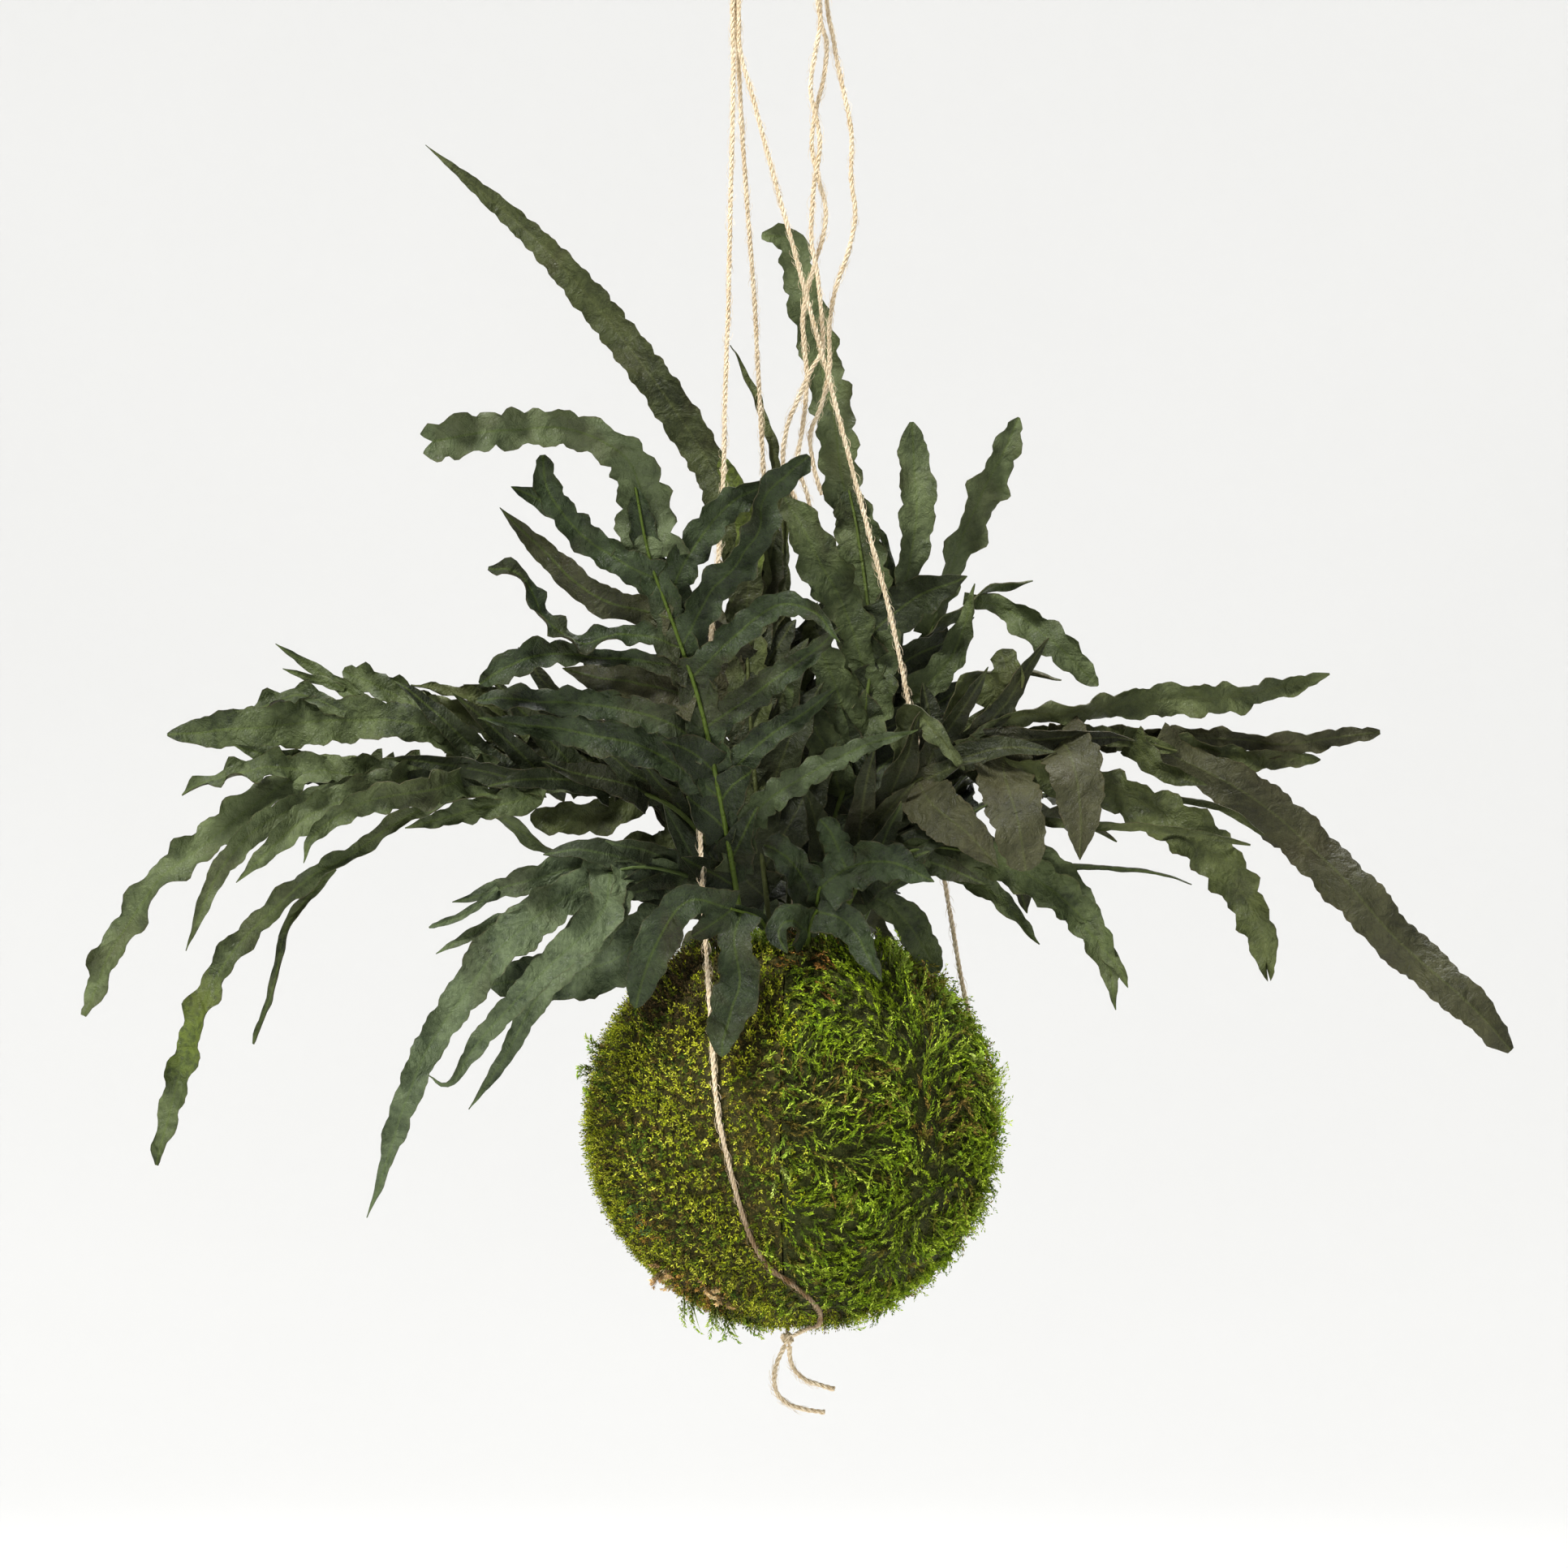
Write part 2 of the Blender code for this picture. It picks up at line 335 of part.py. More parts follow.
SLACK_STRINGS = {
    "slack_string_left": ((-14.2, -2, 445), (-7, 0, 447), (1, 2, 441), (7, 3, 425), (9.5, 3, 404),
                          (10.5, 3, 396), (8.5, 3, 385), (7, 3, 372), (9.7, 3, 359), (10.2, 3, 350),
                          (8, 3, 336), (7.3, 3, 318), (9.4, 3, 306), (11, 3, 290), (11.2, 3, 279),
                          (7, 3, 271), (2, 4, 260), (-1.5, 6, 251), (-3, 9, 240), (-1.5, 11, 232),
                          (2, 12, 224), (4, 12, 213)),
    "slack_string_middle": ((-14.1, 0.5, 448), (-6, 2.5, 450.5), (3, 6, 445), (9, 6.5, 428),
                            (10.5, 6.5, 400), (12.8, 6.5, 389), (11.5, 6.5, 376), (8.8, 6.5, 365),
                            (7.4, 6.5, 353), (9.2, 6.5, 343), (12.4, 6.5, 330), (11.5, 6.5, 320),
                            (8.5, 6.5, 310), (5, 6.5, 297), (4.2, 6.5, 286), (5.6, 7, 271), (5.2, 8, 260),
                            (3.8, 9, 249), (2.4, 10, 238), (6, 11.5, 226), (8, 12, 214)),
    "slack_string_right": ((-14.2, 3, 451.5), (-5, 7, 455), (6, 10, 449), (12, 10, 430), (13, 10, 404),
                           (15, 10, 393), (16.5, 10, 384), (19.5, 10, 370), (21.8, 10, 357),
                           (21.7, 10, 341), (23.2, 10, 328), (20.7, 10, 315), (16, 10, 301),
                           (13.8, 10, 287), (13.8, 10, 272), (10.8, 10.5, 259), (7, 11.5, 249),
                           (8, 13, 238), (11, 14, 227)),
}
TAILS = {
    "string_tail_long": ((-2.4, -4, -79.4), (-4.6, -4.5, -84), (-6, -5, -89), (-5.6, -5, -95),
                         (-2, -5, -99.5), (4, -5, -101.8), (12, -5, -103)),
    "string_tail_short": ((-0.6, -4, -79.4), (-0.4, -3.5, -84), (1.6, -3, -88.6), (5.4, -3, -91.8),
                          (10, -3, -93.4), (15.5, -3, -95)),
}
HANGING_LOOP = ((-21.8, 0, 455.4), (-21.8, 0, 458), (-23, 0, 461), (-28, 0, 471), (-28.5, 0, 482),
                (-25.5, 0, 488.5), (-20, 0, 491.3), (-14.5, 0, 488.5), (-11.5, 0, 482), (-12, 0, 471),
                (-17, 0, 461), (-18.2, 0, 458), (-18.2, 0, 455.4))
CORD_STEP = 13.0                  # between rings along the twine
BEND_STEP = 5.0                   # between rings along the short, curved pieces


# ---------------------------------------------------------------- helpers

def clear_scene():
    """Remove every object that the file opened with."""
    for item in list(bpy.data.objects):
        bpy.data.objects.remove(item, do_unlink=True)


def new_collection(name):
    """Return a new collection linked to the scene."""
    collection = bpy.data.collections.new(name)
    bpy.context.scene.collection.children.link(collection)
    return collection


def new_material(name, colour, roughness):
    """Return a Principled material of one colour."""
    material = bpy.data.materials.new(name)
    material.use_nodes = True
    shader = material.node_tree.nodes["Principled BSDF"]
    shader.inputs["Base Color"].default_value = colour
    shader.inputs["Roughness"].default_value = roughness
    return material


def in_metres(point):
    """Return a point of the tables as a vector in metres."""
    return Vector(point) * MM


def blend_four(a, b, c, d, share):
    """Return the point a share of the way from b to c on a smooth curve through all four."""
    return 0.5 * (2 * b + (c - a) * share + (2 * a - 5 * b + 4 * c - d) * share ** 2
                  + (3 * b - a - 3 * c + d) * share ** 3)


def smooth_route(points, step):
    """Return points of a smooth curve through the given ones, about a step apart."""
    route = [Vector(point) for point in points]
    padded = [2 * route[0] - route[1]] + route + [2 * route[-1] - route[-2]]
    fine = []
    for a, b, c, d in zip(padded, padded[1:], padded[2:], padded[3:]):
        fine += [blend_four(a, b, c, d, i / SAMPLES_PER_SPAN) for i in range(SAMPLES_PER_SPAN)]
    fine.append(route[-1])
    lengths = [0.0]
    for first, second in zip(fine, fine[1:]):
        lengths.append(lengths[-1] + (second - first).length)
    count = max(2, round(lengths[-1] / step))
    even = []
    for i in range(count + 1):
        even.append(point_at(fine, lengths, lengths[-1] * i / count))
    return even


def point_at(points, lengths, distance):
    """Return the point at a distance along a polyline whose running lengths are known."""
    for i in range(1, len(points)):
        if lengths[i] >= distance or i == len(points) - 1:
            span = max(lengths[i] - lengths[i - 1], 1e-9)
            return points[i - 1].lerp(points[i], min(1.0, (distance - lengths[i - 1]) / span))


def share_of(points, share):
    """Return the point at a share of a polyline's length."""
    lengths = [0.0]
    for first, second in zip(points, points[1:]):
        lengths.append(lengths[-1] + (second - first).length)
    return point_at(points, lengths, lengths[-1] * share)


def width_share(outline, place):
    """Return the share of the full width at a place from 0 to 1 along an outline."""
    for (start, first), (end, second) in zip(outline, outline[1:]):
        if place <= end:
            return first + (second - first) * (place - start) / (end - start)
    return outline[-1][1]


def tube_curve(name, points, radius, tip_share, resolution, collection):
    """Return a capped tube around the points, as a curve object."""
    curve = bpy.data.curves.new(name, "CURVE")
    curve.dimensions = "3D"
    curve.bevel_depth = radius * MM
    curve.bevel_resolution = resolution
    curve.use_fill_caps = True
    spline = curve.splines.new("POLY")
    spline.points.add(len(points) - 1)
    for i, point in enumerate(points):
        spline.points[i].co = (*in_metres(point), 1.0)
        spline.points[i].radius = 1 + (tip_share - 1) * i / (len(points) - 1)
    item = bpy.data.objects.new(name, curve)
    collection.objects.link(item)
    return item


def mesh_from_curve(curve_object, collection):
    """Return a welded mesh object in place of a curve object, which is removed."""
    bpy.context.view_layer.update()
    evaluated = curve_object.evaluated_get(bpy.context.evaluated_depsgraph_get())
    mesh = bpy.data.meshes.new_from_object(evaluated)
    name = curve_object.name
    item = bpy.data.objects.new(name + "_mesh", mesh)
    item.matrix_world = curve_object.matrix_world
    bpy.data.objects.remove(curve_object, do_unlink=True)
    item.name = name
    collection.objects.link(item)
    body = bmesh.new()
    body.from_mesh(mesh)
    bmesh.ops.remove_doubles(body, verts=body.verts, dist=0.01 * MM)
    bmesh.ops.recalc_face_normals(body, faces=body.faces)
    body.to_mesh(mesh)
    body.free()
    return item


def hide_cutter(item):
    """Show an object as a wire cutter that is not part of the plant."""
    item.hide_render = True
    item.display_type = "WIRE"


def seat(item, material, parent):
    """Give a piece its material and hang it from the ball's centre."""
    if not item.data.materials:
        item.data.materials.append(material)
    item.parent = parent


# ---------------------------------------------------------------- the ball

def arc_profile(radius, first_angle, last_angle):
    """Return the points of an arc in the XZ plane, with angles in degrees from straight up."""
    count = math.ceil(abs(last_angle - first_angle) / ARC_STEP)
    points = []
    for i in range(count + 1):
        angle = math.radians(first_angle + (last_angle - first_angle) * i / count)
        points.append(Vector((radius * math.sin(angle), 0, radius * math.cos(angle))))
    return points


def profile_object(name, points, collection):
    """Return a mesh object that is an open line through the points."""
    mesh = bpy.data.meshes.new(name)
    body = bmesh.new()
    verts = [body.verts.new(in_metres(point)) for point in points]
    for first, second in zip(verts, verts[1:]):
        body.edges.new((first, second))
    body.to_mesh(mesh)
    body.free()
    item = bpy.data.objects.new(name, mesh)
    collection.objects.link(item)
    return item


def turn_profile(item):
    """Turn an open profile once about the ball's upright axis."""
    screw = item.modifiers.new("Turn", "SCREW")
    screw.axis = "Z"
    screw.angle = math.radians(360)
    screw.steps = math.ceil(360 / ARC_STEP)
    screw.render_steps = screw.steps
    screw.use_merge_vertices = True
    screw.merge_threshold = 0.00001


def build_moss_sheet(name, first, last, collection):
    """Return one sheet of moss that wraps a part of the soil: its section, spun about the upright axis."""
    low = BASE_ANGLE - PATCH_GAP
    section = arc_profile(MOSS_OUTER_RADIUS, CROWN_ANGLE, low)
    section += arc_profile(MOSS_INNER_RADIUS, low, CROWN_ANGLE)
    start = math.radians(first + PATCH_GAP / 2)
    mesh = bpy.data.meshes.new(name)
    body = bmesh.new()
    verts = [body.verts.new(in_metres(point)) for point in section]
    edges = [body.edges.new((verts[i - 1], verts[i])) for i in range(len(verts))]
    bmesh.ops.rotate(body, verts=verts, cent=(0, 0, 0), matrix=Matrix.Rotation(start, 3, "Z"))
    bmesh.ops.spin(body, geom=verts + edges, axis=(0, 0, 1), cent=(0, 0, 0), use_merge=False,
                   angle=math.radians(last - first - PATCH_GAP), steps=math.ceil((last - first) / ARC_STEP))
    bmesh.ops.holes_fill(body, edges=[edge for edge in body.edges if edge.is_boundary])
    bmesh.ops.recalc_face_normals(body, faces=body.faces)
    body.to_mesh(mesh)
    body.free()
    sheet = bpy.data.objects.new(name, mesh)
    collection.objects.link(sheet)
    return sheet


def build_moss_base(collection):
    """Return the round patch of moss under the ball, pressed flat where it is set down."""
    inner = arc_profile(MOSS_INNER_RADIUS, 180, BASE_ANGLE)
    outer = arc_profile(MOSS_OUTER_RADIUS, BASE_ANGLE, 180)
    flat_radius = math.sqrt(MOSS_OUTER_RADIUS ** 2 - REST_HEIGHT ** 2)
    rim = [point for point in outer if point.x > flat_radius + RIM_MARGIN]
    inner[0].x = 0
    base = rim + [Vector((flat_radius, 0, REST_HEIGHT)), Vector((0, 0, REST_HEIGHT))]
    patch = profile_object("moss_base", inner + base, collection)
    turn_profile(patch)
    return patch


def build_soil(collection, cutters):
    """Return the ball of soil, with a socket for each stem."""
    mesh = bpy.data.meshes.new("soil_ball")
    body = bmesh.new()
    bmesh.ops.create_uvsphere(body, u_segments=SOIL_SEGMENTS, v_segments=SOIL_RINGS,
                              radius=SOIL_RADIUS * MM)
    body.to_mesh(mesh)
    body.free()
    soil = bpy.data.objects.new("soil_ball", mesh)
    collection.objects.link(soil)
    height = SOCKET_TOP - ROOT_HEIGHT
    for frond in FRONDS:
        socket_mesh = bpy.data.meshes.new(frond.name + "_socket")
        body = bmesh.new()
        bmesh.ops.create_cone(body, cap_ends=True, segments=SOCKET_SIDES, radius1=SOCKET_RADIUS * MM,
                              radius2=SOCKET_RADIUS * MM, depth=height * MM)
        body.to_mesh(socket_mesh)
        body.free()
        socket = bpy.data.objects.new(frond.name + "_socket", socket_mesh)
        socket.location = in_metres((*frond.socket, ROOT_HEIGHT - SEAT_GAP + height / 2))
        cutters.objects.link(socket)
        hide_cutter(socket)
        cut = soil.modifiers.new("Socket", "BOOLEAN")
        cut.operation = "DIFFERENCE"
        cut.solver = "EXACT"
        cut.object = socket
    return soil


# ---------------------------------------------------------------- the fronds

def add_blade(body, route, width, outline, turn, facing):
    """Add a flat blade along a route to an open mesh, as rows of two points joined by faces."""
    rows = []
    for i, centre in enumerate(route):
        place = i / (len(route) - 1)
        ahead = route[min(i + 1, len(route) - 1)] - route[max(i - 1, 0)]
        lean = math.radians(turn[0] + (turn[1] - turn[0]) * place)
        side = ahead.cross(facing).normalized()
        side.rotate(Quaternion(ahead.normalized(), lean))
        half = max(width * width_share(outline, place), TIP_WIDTH) / 2
        rows.append([body.verts.new(in_metres(centre + side * reach)) for reach in (-half, half)])
    for (a, b), (c, d) in zip(rows, rows[1:]):
        body.faces.new((a, b, d, c))


def build_blades(frond, stem, cutters):
    """Return one object with a frond's wing and lobes, each a closed blade of its own."""
    mesh = bpy.data.meshes.new(frond.name + "_blades")
    body = bmesh.new()
    wing_start, wing_end, wing_width = frond.wing
    wing = [share_of(stem, wing_start + (wing_end - wing_start) * i / LEAST_SPANS)
            for i in range(LEAST_SPANS + 1)]
    add_blade(body, wing, wing_width, STRAP, (0, 0), frond.facing)
    for lobe in frond.lobes:
        points = [Vector(point) for point in lobe.points]
        if lobe.start is not None:
            points.insert(0, share_of(stem, lobe.start))
        route = smooth_route(points, LOBE_STEP)
        if len(route) < LEAST_SPANS:
            route = [share_of(route, i / LEAST_SPANS) for i in range(LEAST_SPANS + 1)]
        add_blade(body, route, lobe.width, lobe.outline, lobe.turn, frond.facing)
    bmesh.ops.triangulate(body, faces=body.faces)
    body.to_mesh(mesh)
    body.free()
    blades = bpy.data.objects.new(frond.name + "_blades", mesh)
    cutters.objects.link(blades)
    hide_cutter(blades)
    wall = blades.modifiers.new("Thickness", "SOLIDIFY")
    wall.thickness = BLADE_THICKNESS * MM
    wall.offset = 0
    return blades


def build_frond(frond, collection, cutters):
    """Return one frond: its stem in one piece with its wing and its lobes."""
    neck = Vector((*frond.socket, NECK_HEIGHT))
    stem = smooth_route((neck, *frond.stem), STEM_STEP)
    rooted = [Vector((*frond.socket, ROOT_HEIGHT))] + stem
    tube = tube_curve(frond.name, rooted, STEM_RADIUS, STEM_TIP_SHARE, 0, collection)
    item = mesh_from_curve(tube, collection)
    union = item.modifiers.new("Lobes", "BOOLEAN")
    union.operation = "UNION"
    union.solver = "EXACT"
    union.use_self = True
    union.object = build_blades(frond, stem, cutters)
    return item


# ---------------------------------------------------------------- the twine

def build_string(name, points, radius, step, collection):
    """Return one length of twine as a capped tube."""
    return tube_curve(name, smooth_route(points, step), radius, 1.0, 2, collection)


def build_top_knot(collection):
    """Return the overhand knot that gathers the strings under the hanging loop."""
    mesh = bpy.data.meshes.new("top_knot")
    body = bmesh.new()
    bmesh.ops.create_cone(body, cap_ends=True, segments=TOP_KNOT_SIDES, radius1=TOP_KNOT_RADIUS * MM,
                          radius2=TOP_KNOT_RADIUS * MM, depth=TOP_KNOT_HEIGHT * MM)
    body.to_mesh(mesh)
    body.free()
    knot = bpy.data.objects.new("top_knot", mesh)
    collection.objects.link(knot)
    knot.location = in_metres(TOP_KNOT)
    edge = knot.modifiers.new("Round", "BEVEL")
    edge.width = TOP_KNOT_ROUNDING * MM
    edge.segments = 2
    edge.limit_method = "ANGLE"
    return knot


def build_bottom_knot(collection):
    """Return the small knot under the ball, where the three taut strings meet."""
    mesh = bpy.data.meshes.new("bottom_knot")
    body = bmesh.new()
    bmesh.ops.create_uvsphere(body, u_segments=BOTTOM_KNOT_SEGMENTS, v_segments=BOTTOM_KNOT_RINGS,
                              radius=BOTTOM_KNOT_RADIUS * MM)
    body.to_mesh(mesh)
    body.free()
    knot = bpy.data.objects.new("bottom_knot", mesh)
    collection.objects.link(knot)
    knot.location = in_metres(BOTTOM_KNOT)
    return knot


# ---------------------------------------------------------------- the whole plant

def main():
    """Build the kokedama."""
    clear_scene()
    plant = new_collection("kokedama")
    cutters = new_collection("cutters")
    centre = bpy.data.objects.new("ball_centre", None)
    centre.location = in_metres(BALL_CENTRE)
    plant.objects.link(centre)

    soil_material = new_material("soil", SOIL, 0.95)
    jute_material = new_material("jute", JUTE, 0.9)
    green_material = new_material("frond_green", GREEN, 0.55)
    olive_material = new_material("frond_olive", OLIVE, 0.6)

    seat(build_soil(plant, cutters), soil_material, centre)
    for item in cutters.objects:
        item.parent = centre
    for name, first, last, colour in MOSS_SHEETS:
        seat(build_moss_sheet(name, first, last, plant), new_material(name, colour, 1.0), centre)
    seat(build_moss_base(plant), new_material("moss_base", MOSS_BASE_COLOUR, 1.0), centre)

    for frond in FRONDS:
        item = build_frond(frond, plant, cutters)
        cutters.objects[frond.name + "_blades"].parent = centre
        seat(item, green_material if frond.colour is GREEN else olive_material, centre)

    for name, points in {**TAUT_STRINGS, **SLACK_STRINGS}.items():
        seat(build_string(name, points, TWINE_RADIUS, CORD_STEP, plant), jute_material, centre)
    for name, points in TAILS.items():
        seat(build_string(name, points, TAIL_RADIUS, BEND_STEP, plant), jute_material, centre)
    seat(build_string("hanging_loop", HANGING_LOOP, LOOP_RADIUS, BEND_STEP, plant), jute_material, centre)
    seat(build_top_knot(plant), jute_material, centre)
    seat(build_bottom_knot(plant), jute_material, centre)


main()
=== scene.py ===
"""Kokedama: a lobed fern planted in a moss ball that hangs in jute twine.

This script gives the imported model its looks: fronds with waved and folded blades, a coat of moss
shoots, twisted twine with loose fibres, and the studio around them.  The tables are in
millimetres from the centre of the ball: X to the right, Y away from the front and Z up.
"""

import json
import logging
import math
from dataclasses import dataclass
from enum import Enum
from functools import reduce

import bpy
import numpy as np
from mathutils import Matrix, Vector

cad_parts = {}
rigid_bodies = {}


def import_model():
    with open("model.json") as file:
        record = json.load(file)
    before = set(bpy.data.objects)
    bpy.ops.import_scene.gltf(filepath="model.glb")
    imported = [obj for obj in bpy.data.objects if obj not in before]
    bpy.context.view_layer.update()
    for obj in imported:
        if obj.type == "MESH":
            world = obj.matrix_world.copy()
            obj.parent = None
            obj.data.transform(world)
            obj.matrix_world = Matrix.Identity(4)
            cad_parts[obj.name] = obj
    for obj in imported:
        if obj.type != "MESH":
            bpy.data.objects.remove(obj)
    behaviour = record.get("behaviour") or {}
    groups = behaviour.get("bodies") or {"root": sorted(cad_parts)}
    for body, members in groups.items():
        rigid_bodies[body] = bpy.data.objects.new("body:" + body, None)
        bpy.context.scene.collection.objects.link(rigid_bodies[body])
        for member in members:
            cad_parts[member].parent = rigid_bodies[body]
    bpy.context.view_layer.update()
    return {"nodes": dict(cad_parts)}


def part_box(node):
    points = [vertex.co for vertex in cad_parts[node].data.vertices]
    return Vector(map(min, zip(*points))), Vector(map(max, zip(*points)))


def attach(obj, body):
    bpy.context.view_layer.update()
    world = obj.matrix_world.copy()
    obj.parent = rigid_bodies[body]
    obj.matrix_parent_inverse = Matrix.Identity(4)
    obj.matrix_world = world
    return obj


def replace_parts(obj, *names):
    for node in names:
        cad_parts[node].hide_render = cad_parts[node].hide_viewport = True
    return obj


for leftover in list(bpy.data.objects):
    bpy.data.objects.remove(leftover, do_unlink=True)
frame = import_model()

log = logging.getLogger("kokedama")

Array = np.ndarray
Pair = tuple[float, float]
Point = tuple[float, float, float]
Colour = tuple[float, float, float, float]
Material = bpy.types.Material
Piece = bpy.types.Object
Socket = bpy.types.NodeSocket
Chance = np.random.Generator

MM = 0.001
GOLDEN_TURN = math.pi * (3 - math.sqrt(5))
FRONT = (0.0, -1.0, 0.0)
UP_AND_BACK = (0.0, 0.45, 1.0)
BODY = "root"
FINE_STEPS = 16  # fine steps from one given point of a route to the next
LEAST_PLACES = 5  # on the shortest route
ANY_WAY = (0.31, 0.93, 0.2)  # a direction that no route starts in


# ---------------- curves and meshes

def ball_centre() -> Array:
    """Return the centre of the ball in the frame, in metres."""
    low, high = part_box("soil_ball")
    return np.array((low + high) / 2)


CENTRE = ball_centre()


def unit(vectors: Array) -> Array:
    """Return the vectors scaled to a length of one."""
    return vectors / np.maximum(np.linalg.norm(vectors, axis=-1, keepdims=True), 1e-9)


def running_length(points: Array) -> Array:
    """Return the distance from the first point to each point, along the line through them."""
    steps = np.linalg.norm(np.diff(points, axis=0), axis=1)
    return np.concatenate([[0.0], np.cumsum(steps)])


def at_distances(points: Array, distances: Array) -> Array:
    """Return the places at these distances along the line through the points."""
    length = running_length(points)
    return np.stack([np.interp(distances, length, points[:, axis]) for axis in range(3)], axis=1)


def smooth_route(points: tuple[Point, ...], step: float) -> Array:
    """Return evenly spaced places on a smooth curve through the points.

    Args:
        points: the points that the curve goes through.
        step: the distance from one place to the next, to the nearest whole count.

    Returns:
        The places, one row each.
    """
    route = np.array(points, float)
    ends = np.vstack([2 * route[0] - route[1], route, 2 * route[-1] - route[-2]])
    a, b, c, d = (ends[i:len(ends) - 3 + i, None] for i in range(4))
    t = np.linspace(0, 1, FINE_STEPS, endpoint=False)[None, :, None]
    fine = 0.5 * (2 * b + (c - a) * t + (2 * a - 5 * b + 4 * c - d) * t ** 2
                  + (3 * b - a - 3 * c + d) * t ** 3)
    fine = np.vstack([fine.reshape(-1, 3), route[-1:]])
    length = running_length(fine)[-1]
    count = max(LEAST_PLACES, round(length / step) + 1)
    return at_distances(fine, np.linspace(0, length, count))


def ease(values: Array) -> Array:
    """Return the values cut to 0 to 1, with a gentle start and end."""
    cut = np.clip(values, 0, 1)
    return cut * cut * (3 - 2 * cut)


def between(first: Array, second: Array, angle: Array | float) -> Array:
    """Return directions that are turned from the first towards the second, by angles in radians."""
    turn = np.asarray(angle)[..., None]
    return first * np.cos(turn) + second * np.sin(turn)


def cross_frames(points: Array) -> tuple[Array, Array, Array]:
    """Find two directions across a line that don't twist along it.

    Args:
        points: the line's points.

    Returns:
        The direction ahead at each point, and the two across.
    """
    ahead = unit(np.gradient(points, axis=0))
    first = np.zeros_like(ahead)
    across = np.cross(ahead[0], ANY_WAY)
    for i, direction in enumerate(ahead):
        across = across - direction * across.dot(direction)
        across = across / np.linalg.norm(across)
        first[i] = across
    return ahead, first, np.cross(ahead, first)


def new_mesh(name: str, places: Array, faces: list[list[int]], material: Material) -> bpy.types.Mesh:
    """Make a mesh with smooth faces and one finish.

    Args:
        name: the mesh's name.
        places: its points, in metres in the frame.
        faces: the point numbers of each face.
        material: the finish.

    Returns:
        The mesh.
    """
    mesh = bpy.data.meshes.new(name)
    mesh.from_pydata(places.tolist(), [], faces)
    mesh.polygons.foreach_set("use_smooth", [True] * len(mesh.polygons))
    mesh.materials.append(material)
    return mesh


def new_object(name: str, data: bpy.types.ID) -> Piece:
    """Put an object into the scene.

    Args:
        name: its name.
        data: what it shows, such as a mesh or a lamp.

    Returns:
        The object.
    """
    item = bpy.data.objects.new(name, data)
    bpy.context.scene.collection.objects.link(item)
    return item


class MeshData:
    """Points, faces and named values per point, gathered until they become one piece."""

    def __init__(self) -> None:
        """Start with nothing gathered."""
        self.points: list[Array] = []
        self.faces: list[Array] = []
        self.values: dict[str, list[Array]] = {}
        self.count = 0

    def add(self, points: Array, faces: Array, **values: Array) -> None:
        """Gather a group of points and its faces.

        Args:
            points: the places, in millimetres from the centre of the ball.
            faces: rows of point numbers, counted from the group's own first point.
            values: one row of numbers or one number for each point, by name.
        """
        self.points.append(points)
        self.faces.append(faces + self.count)
        self.count += len(points)
        for name, numbers in values.items():
            self.values.setdefault(name, []).append(numbers)

    def piece(self, name: str, material: Material, slot: str, sharp_angle: float = 55.0) -> Piece:
        """Return one object made of everything gathered, on its body and with its finish.

        Args:
            name: the name of the piece.
            material: its finish.
            slot: the record's material slot; not used.
            sharp_angle: edges that bend by more than this many degrees stay crisp.

        Returns:
            The object.
        """
        places = np.concatenate(self.points) * MM + CENTRE
        mesh = new_mesh(name, places, [row for faces in self.faces for row in faces.tolist()], material)
        for key, groups in self.values.items():
            numbers = np.concatenate(groups).astype(np.float32)
            kind, part = ("FLOAT", "value") if numbers.ndim == 1 else ("FLOAT_VECTOR", "vector")
            mesh.attributes.new(key, kind, "POINT").data.foreach_set(part, numbers.ravel())
        mesh.set_sharp_from_angle(angle=math.radians(sharp_angle))
        mesh.update()
        item = new_object(name, mesh)
        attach(item, BODY)
        log.info("%s: %d faces", name, len(mesh.polygons))
        return item


def grid_faces(rows: int, columns: int) -> Array:
    """Return the four-sided faces of a sheet of points, which are numbered row by row."""
    first = (np.arange(rows - 1)[:, None] * columns + np.arange(columns - 1)[None, :]).ravel()
    return np.stack([first, first + 1, first + columns + 1, first + columns], axis=1)


def ring_faces(rows: int, sides: int) -> Array:
    """Make the four-sided faces between closed rings, numbered ring by ring.

    Args:
        rows: how many rings there are.
        sides: how many points each ring has.

    Returns:
        The point numbers of each face.
    """
    first = np.arange(rows - 1)[:, None] * sides
    side = np.arange(sides)
    start, after = (first + side).ravel(), (first + (side + 1) % sides).ravel()
    return np.stack([start, after, after + sides, start + sides], axis=1)


def add_tube(target: MeshData, points: Array, radii: Array, sides: int, **values: Array) -> None:
    """Gather a closed tube with a pointed cap at each end.

    Args:
        target: what gathers it.
        points: the line that the tube follows.
        radii: the tube's radius at each point.
        sides: how many sides the tube has.
        values: one row of numbers or one number for each point of the line, by name.
    """
    _, first, second = cross_frames(points)
    turn = np.linspace(0, 2 * math.pi, sides, endpoint=False)
    skin = points[:, None] + between(first[:, None], second[:, None], turn) * radii[:, None, None]
    rows = len(points)
    walls = ring_faces(rows, sides)
    low, high = rows * sides, rows * sides + 1
    rim = np.arange(sides)
    over = (rim + 1) % sides
    last = (rows - 1) * sides
    caps = np.concatenate([
        np.stack([over, rim, np.full(sides, low)], axis=1),
        np.stack([rim + last, over + last, np.full(sides, high)], axis=1)])
    spread = {key: np.concatenate([np.repeat(rows_of, sides, axis=0), rows_of[:1], rows_of[-1:]])
              for key, rows_of in values.items()}
    places = np.concatenate([skin.reshape(-1, 3), points[:1], points[-1:]])
    target.add(places, walls, **spread)
    target.faces.append(caps + target.count - len(places))


# ---------------- finishes

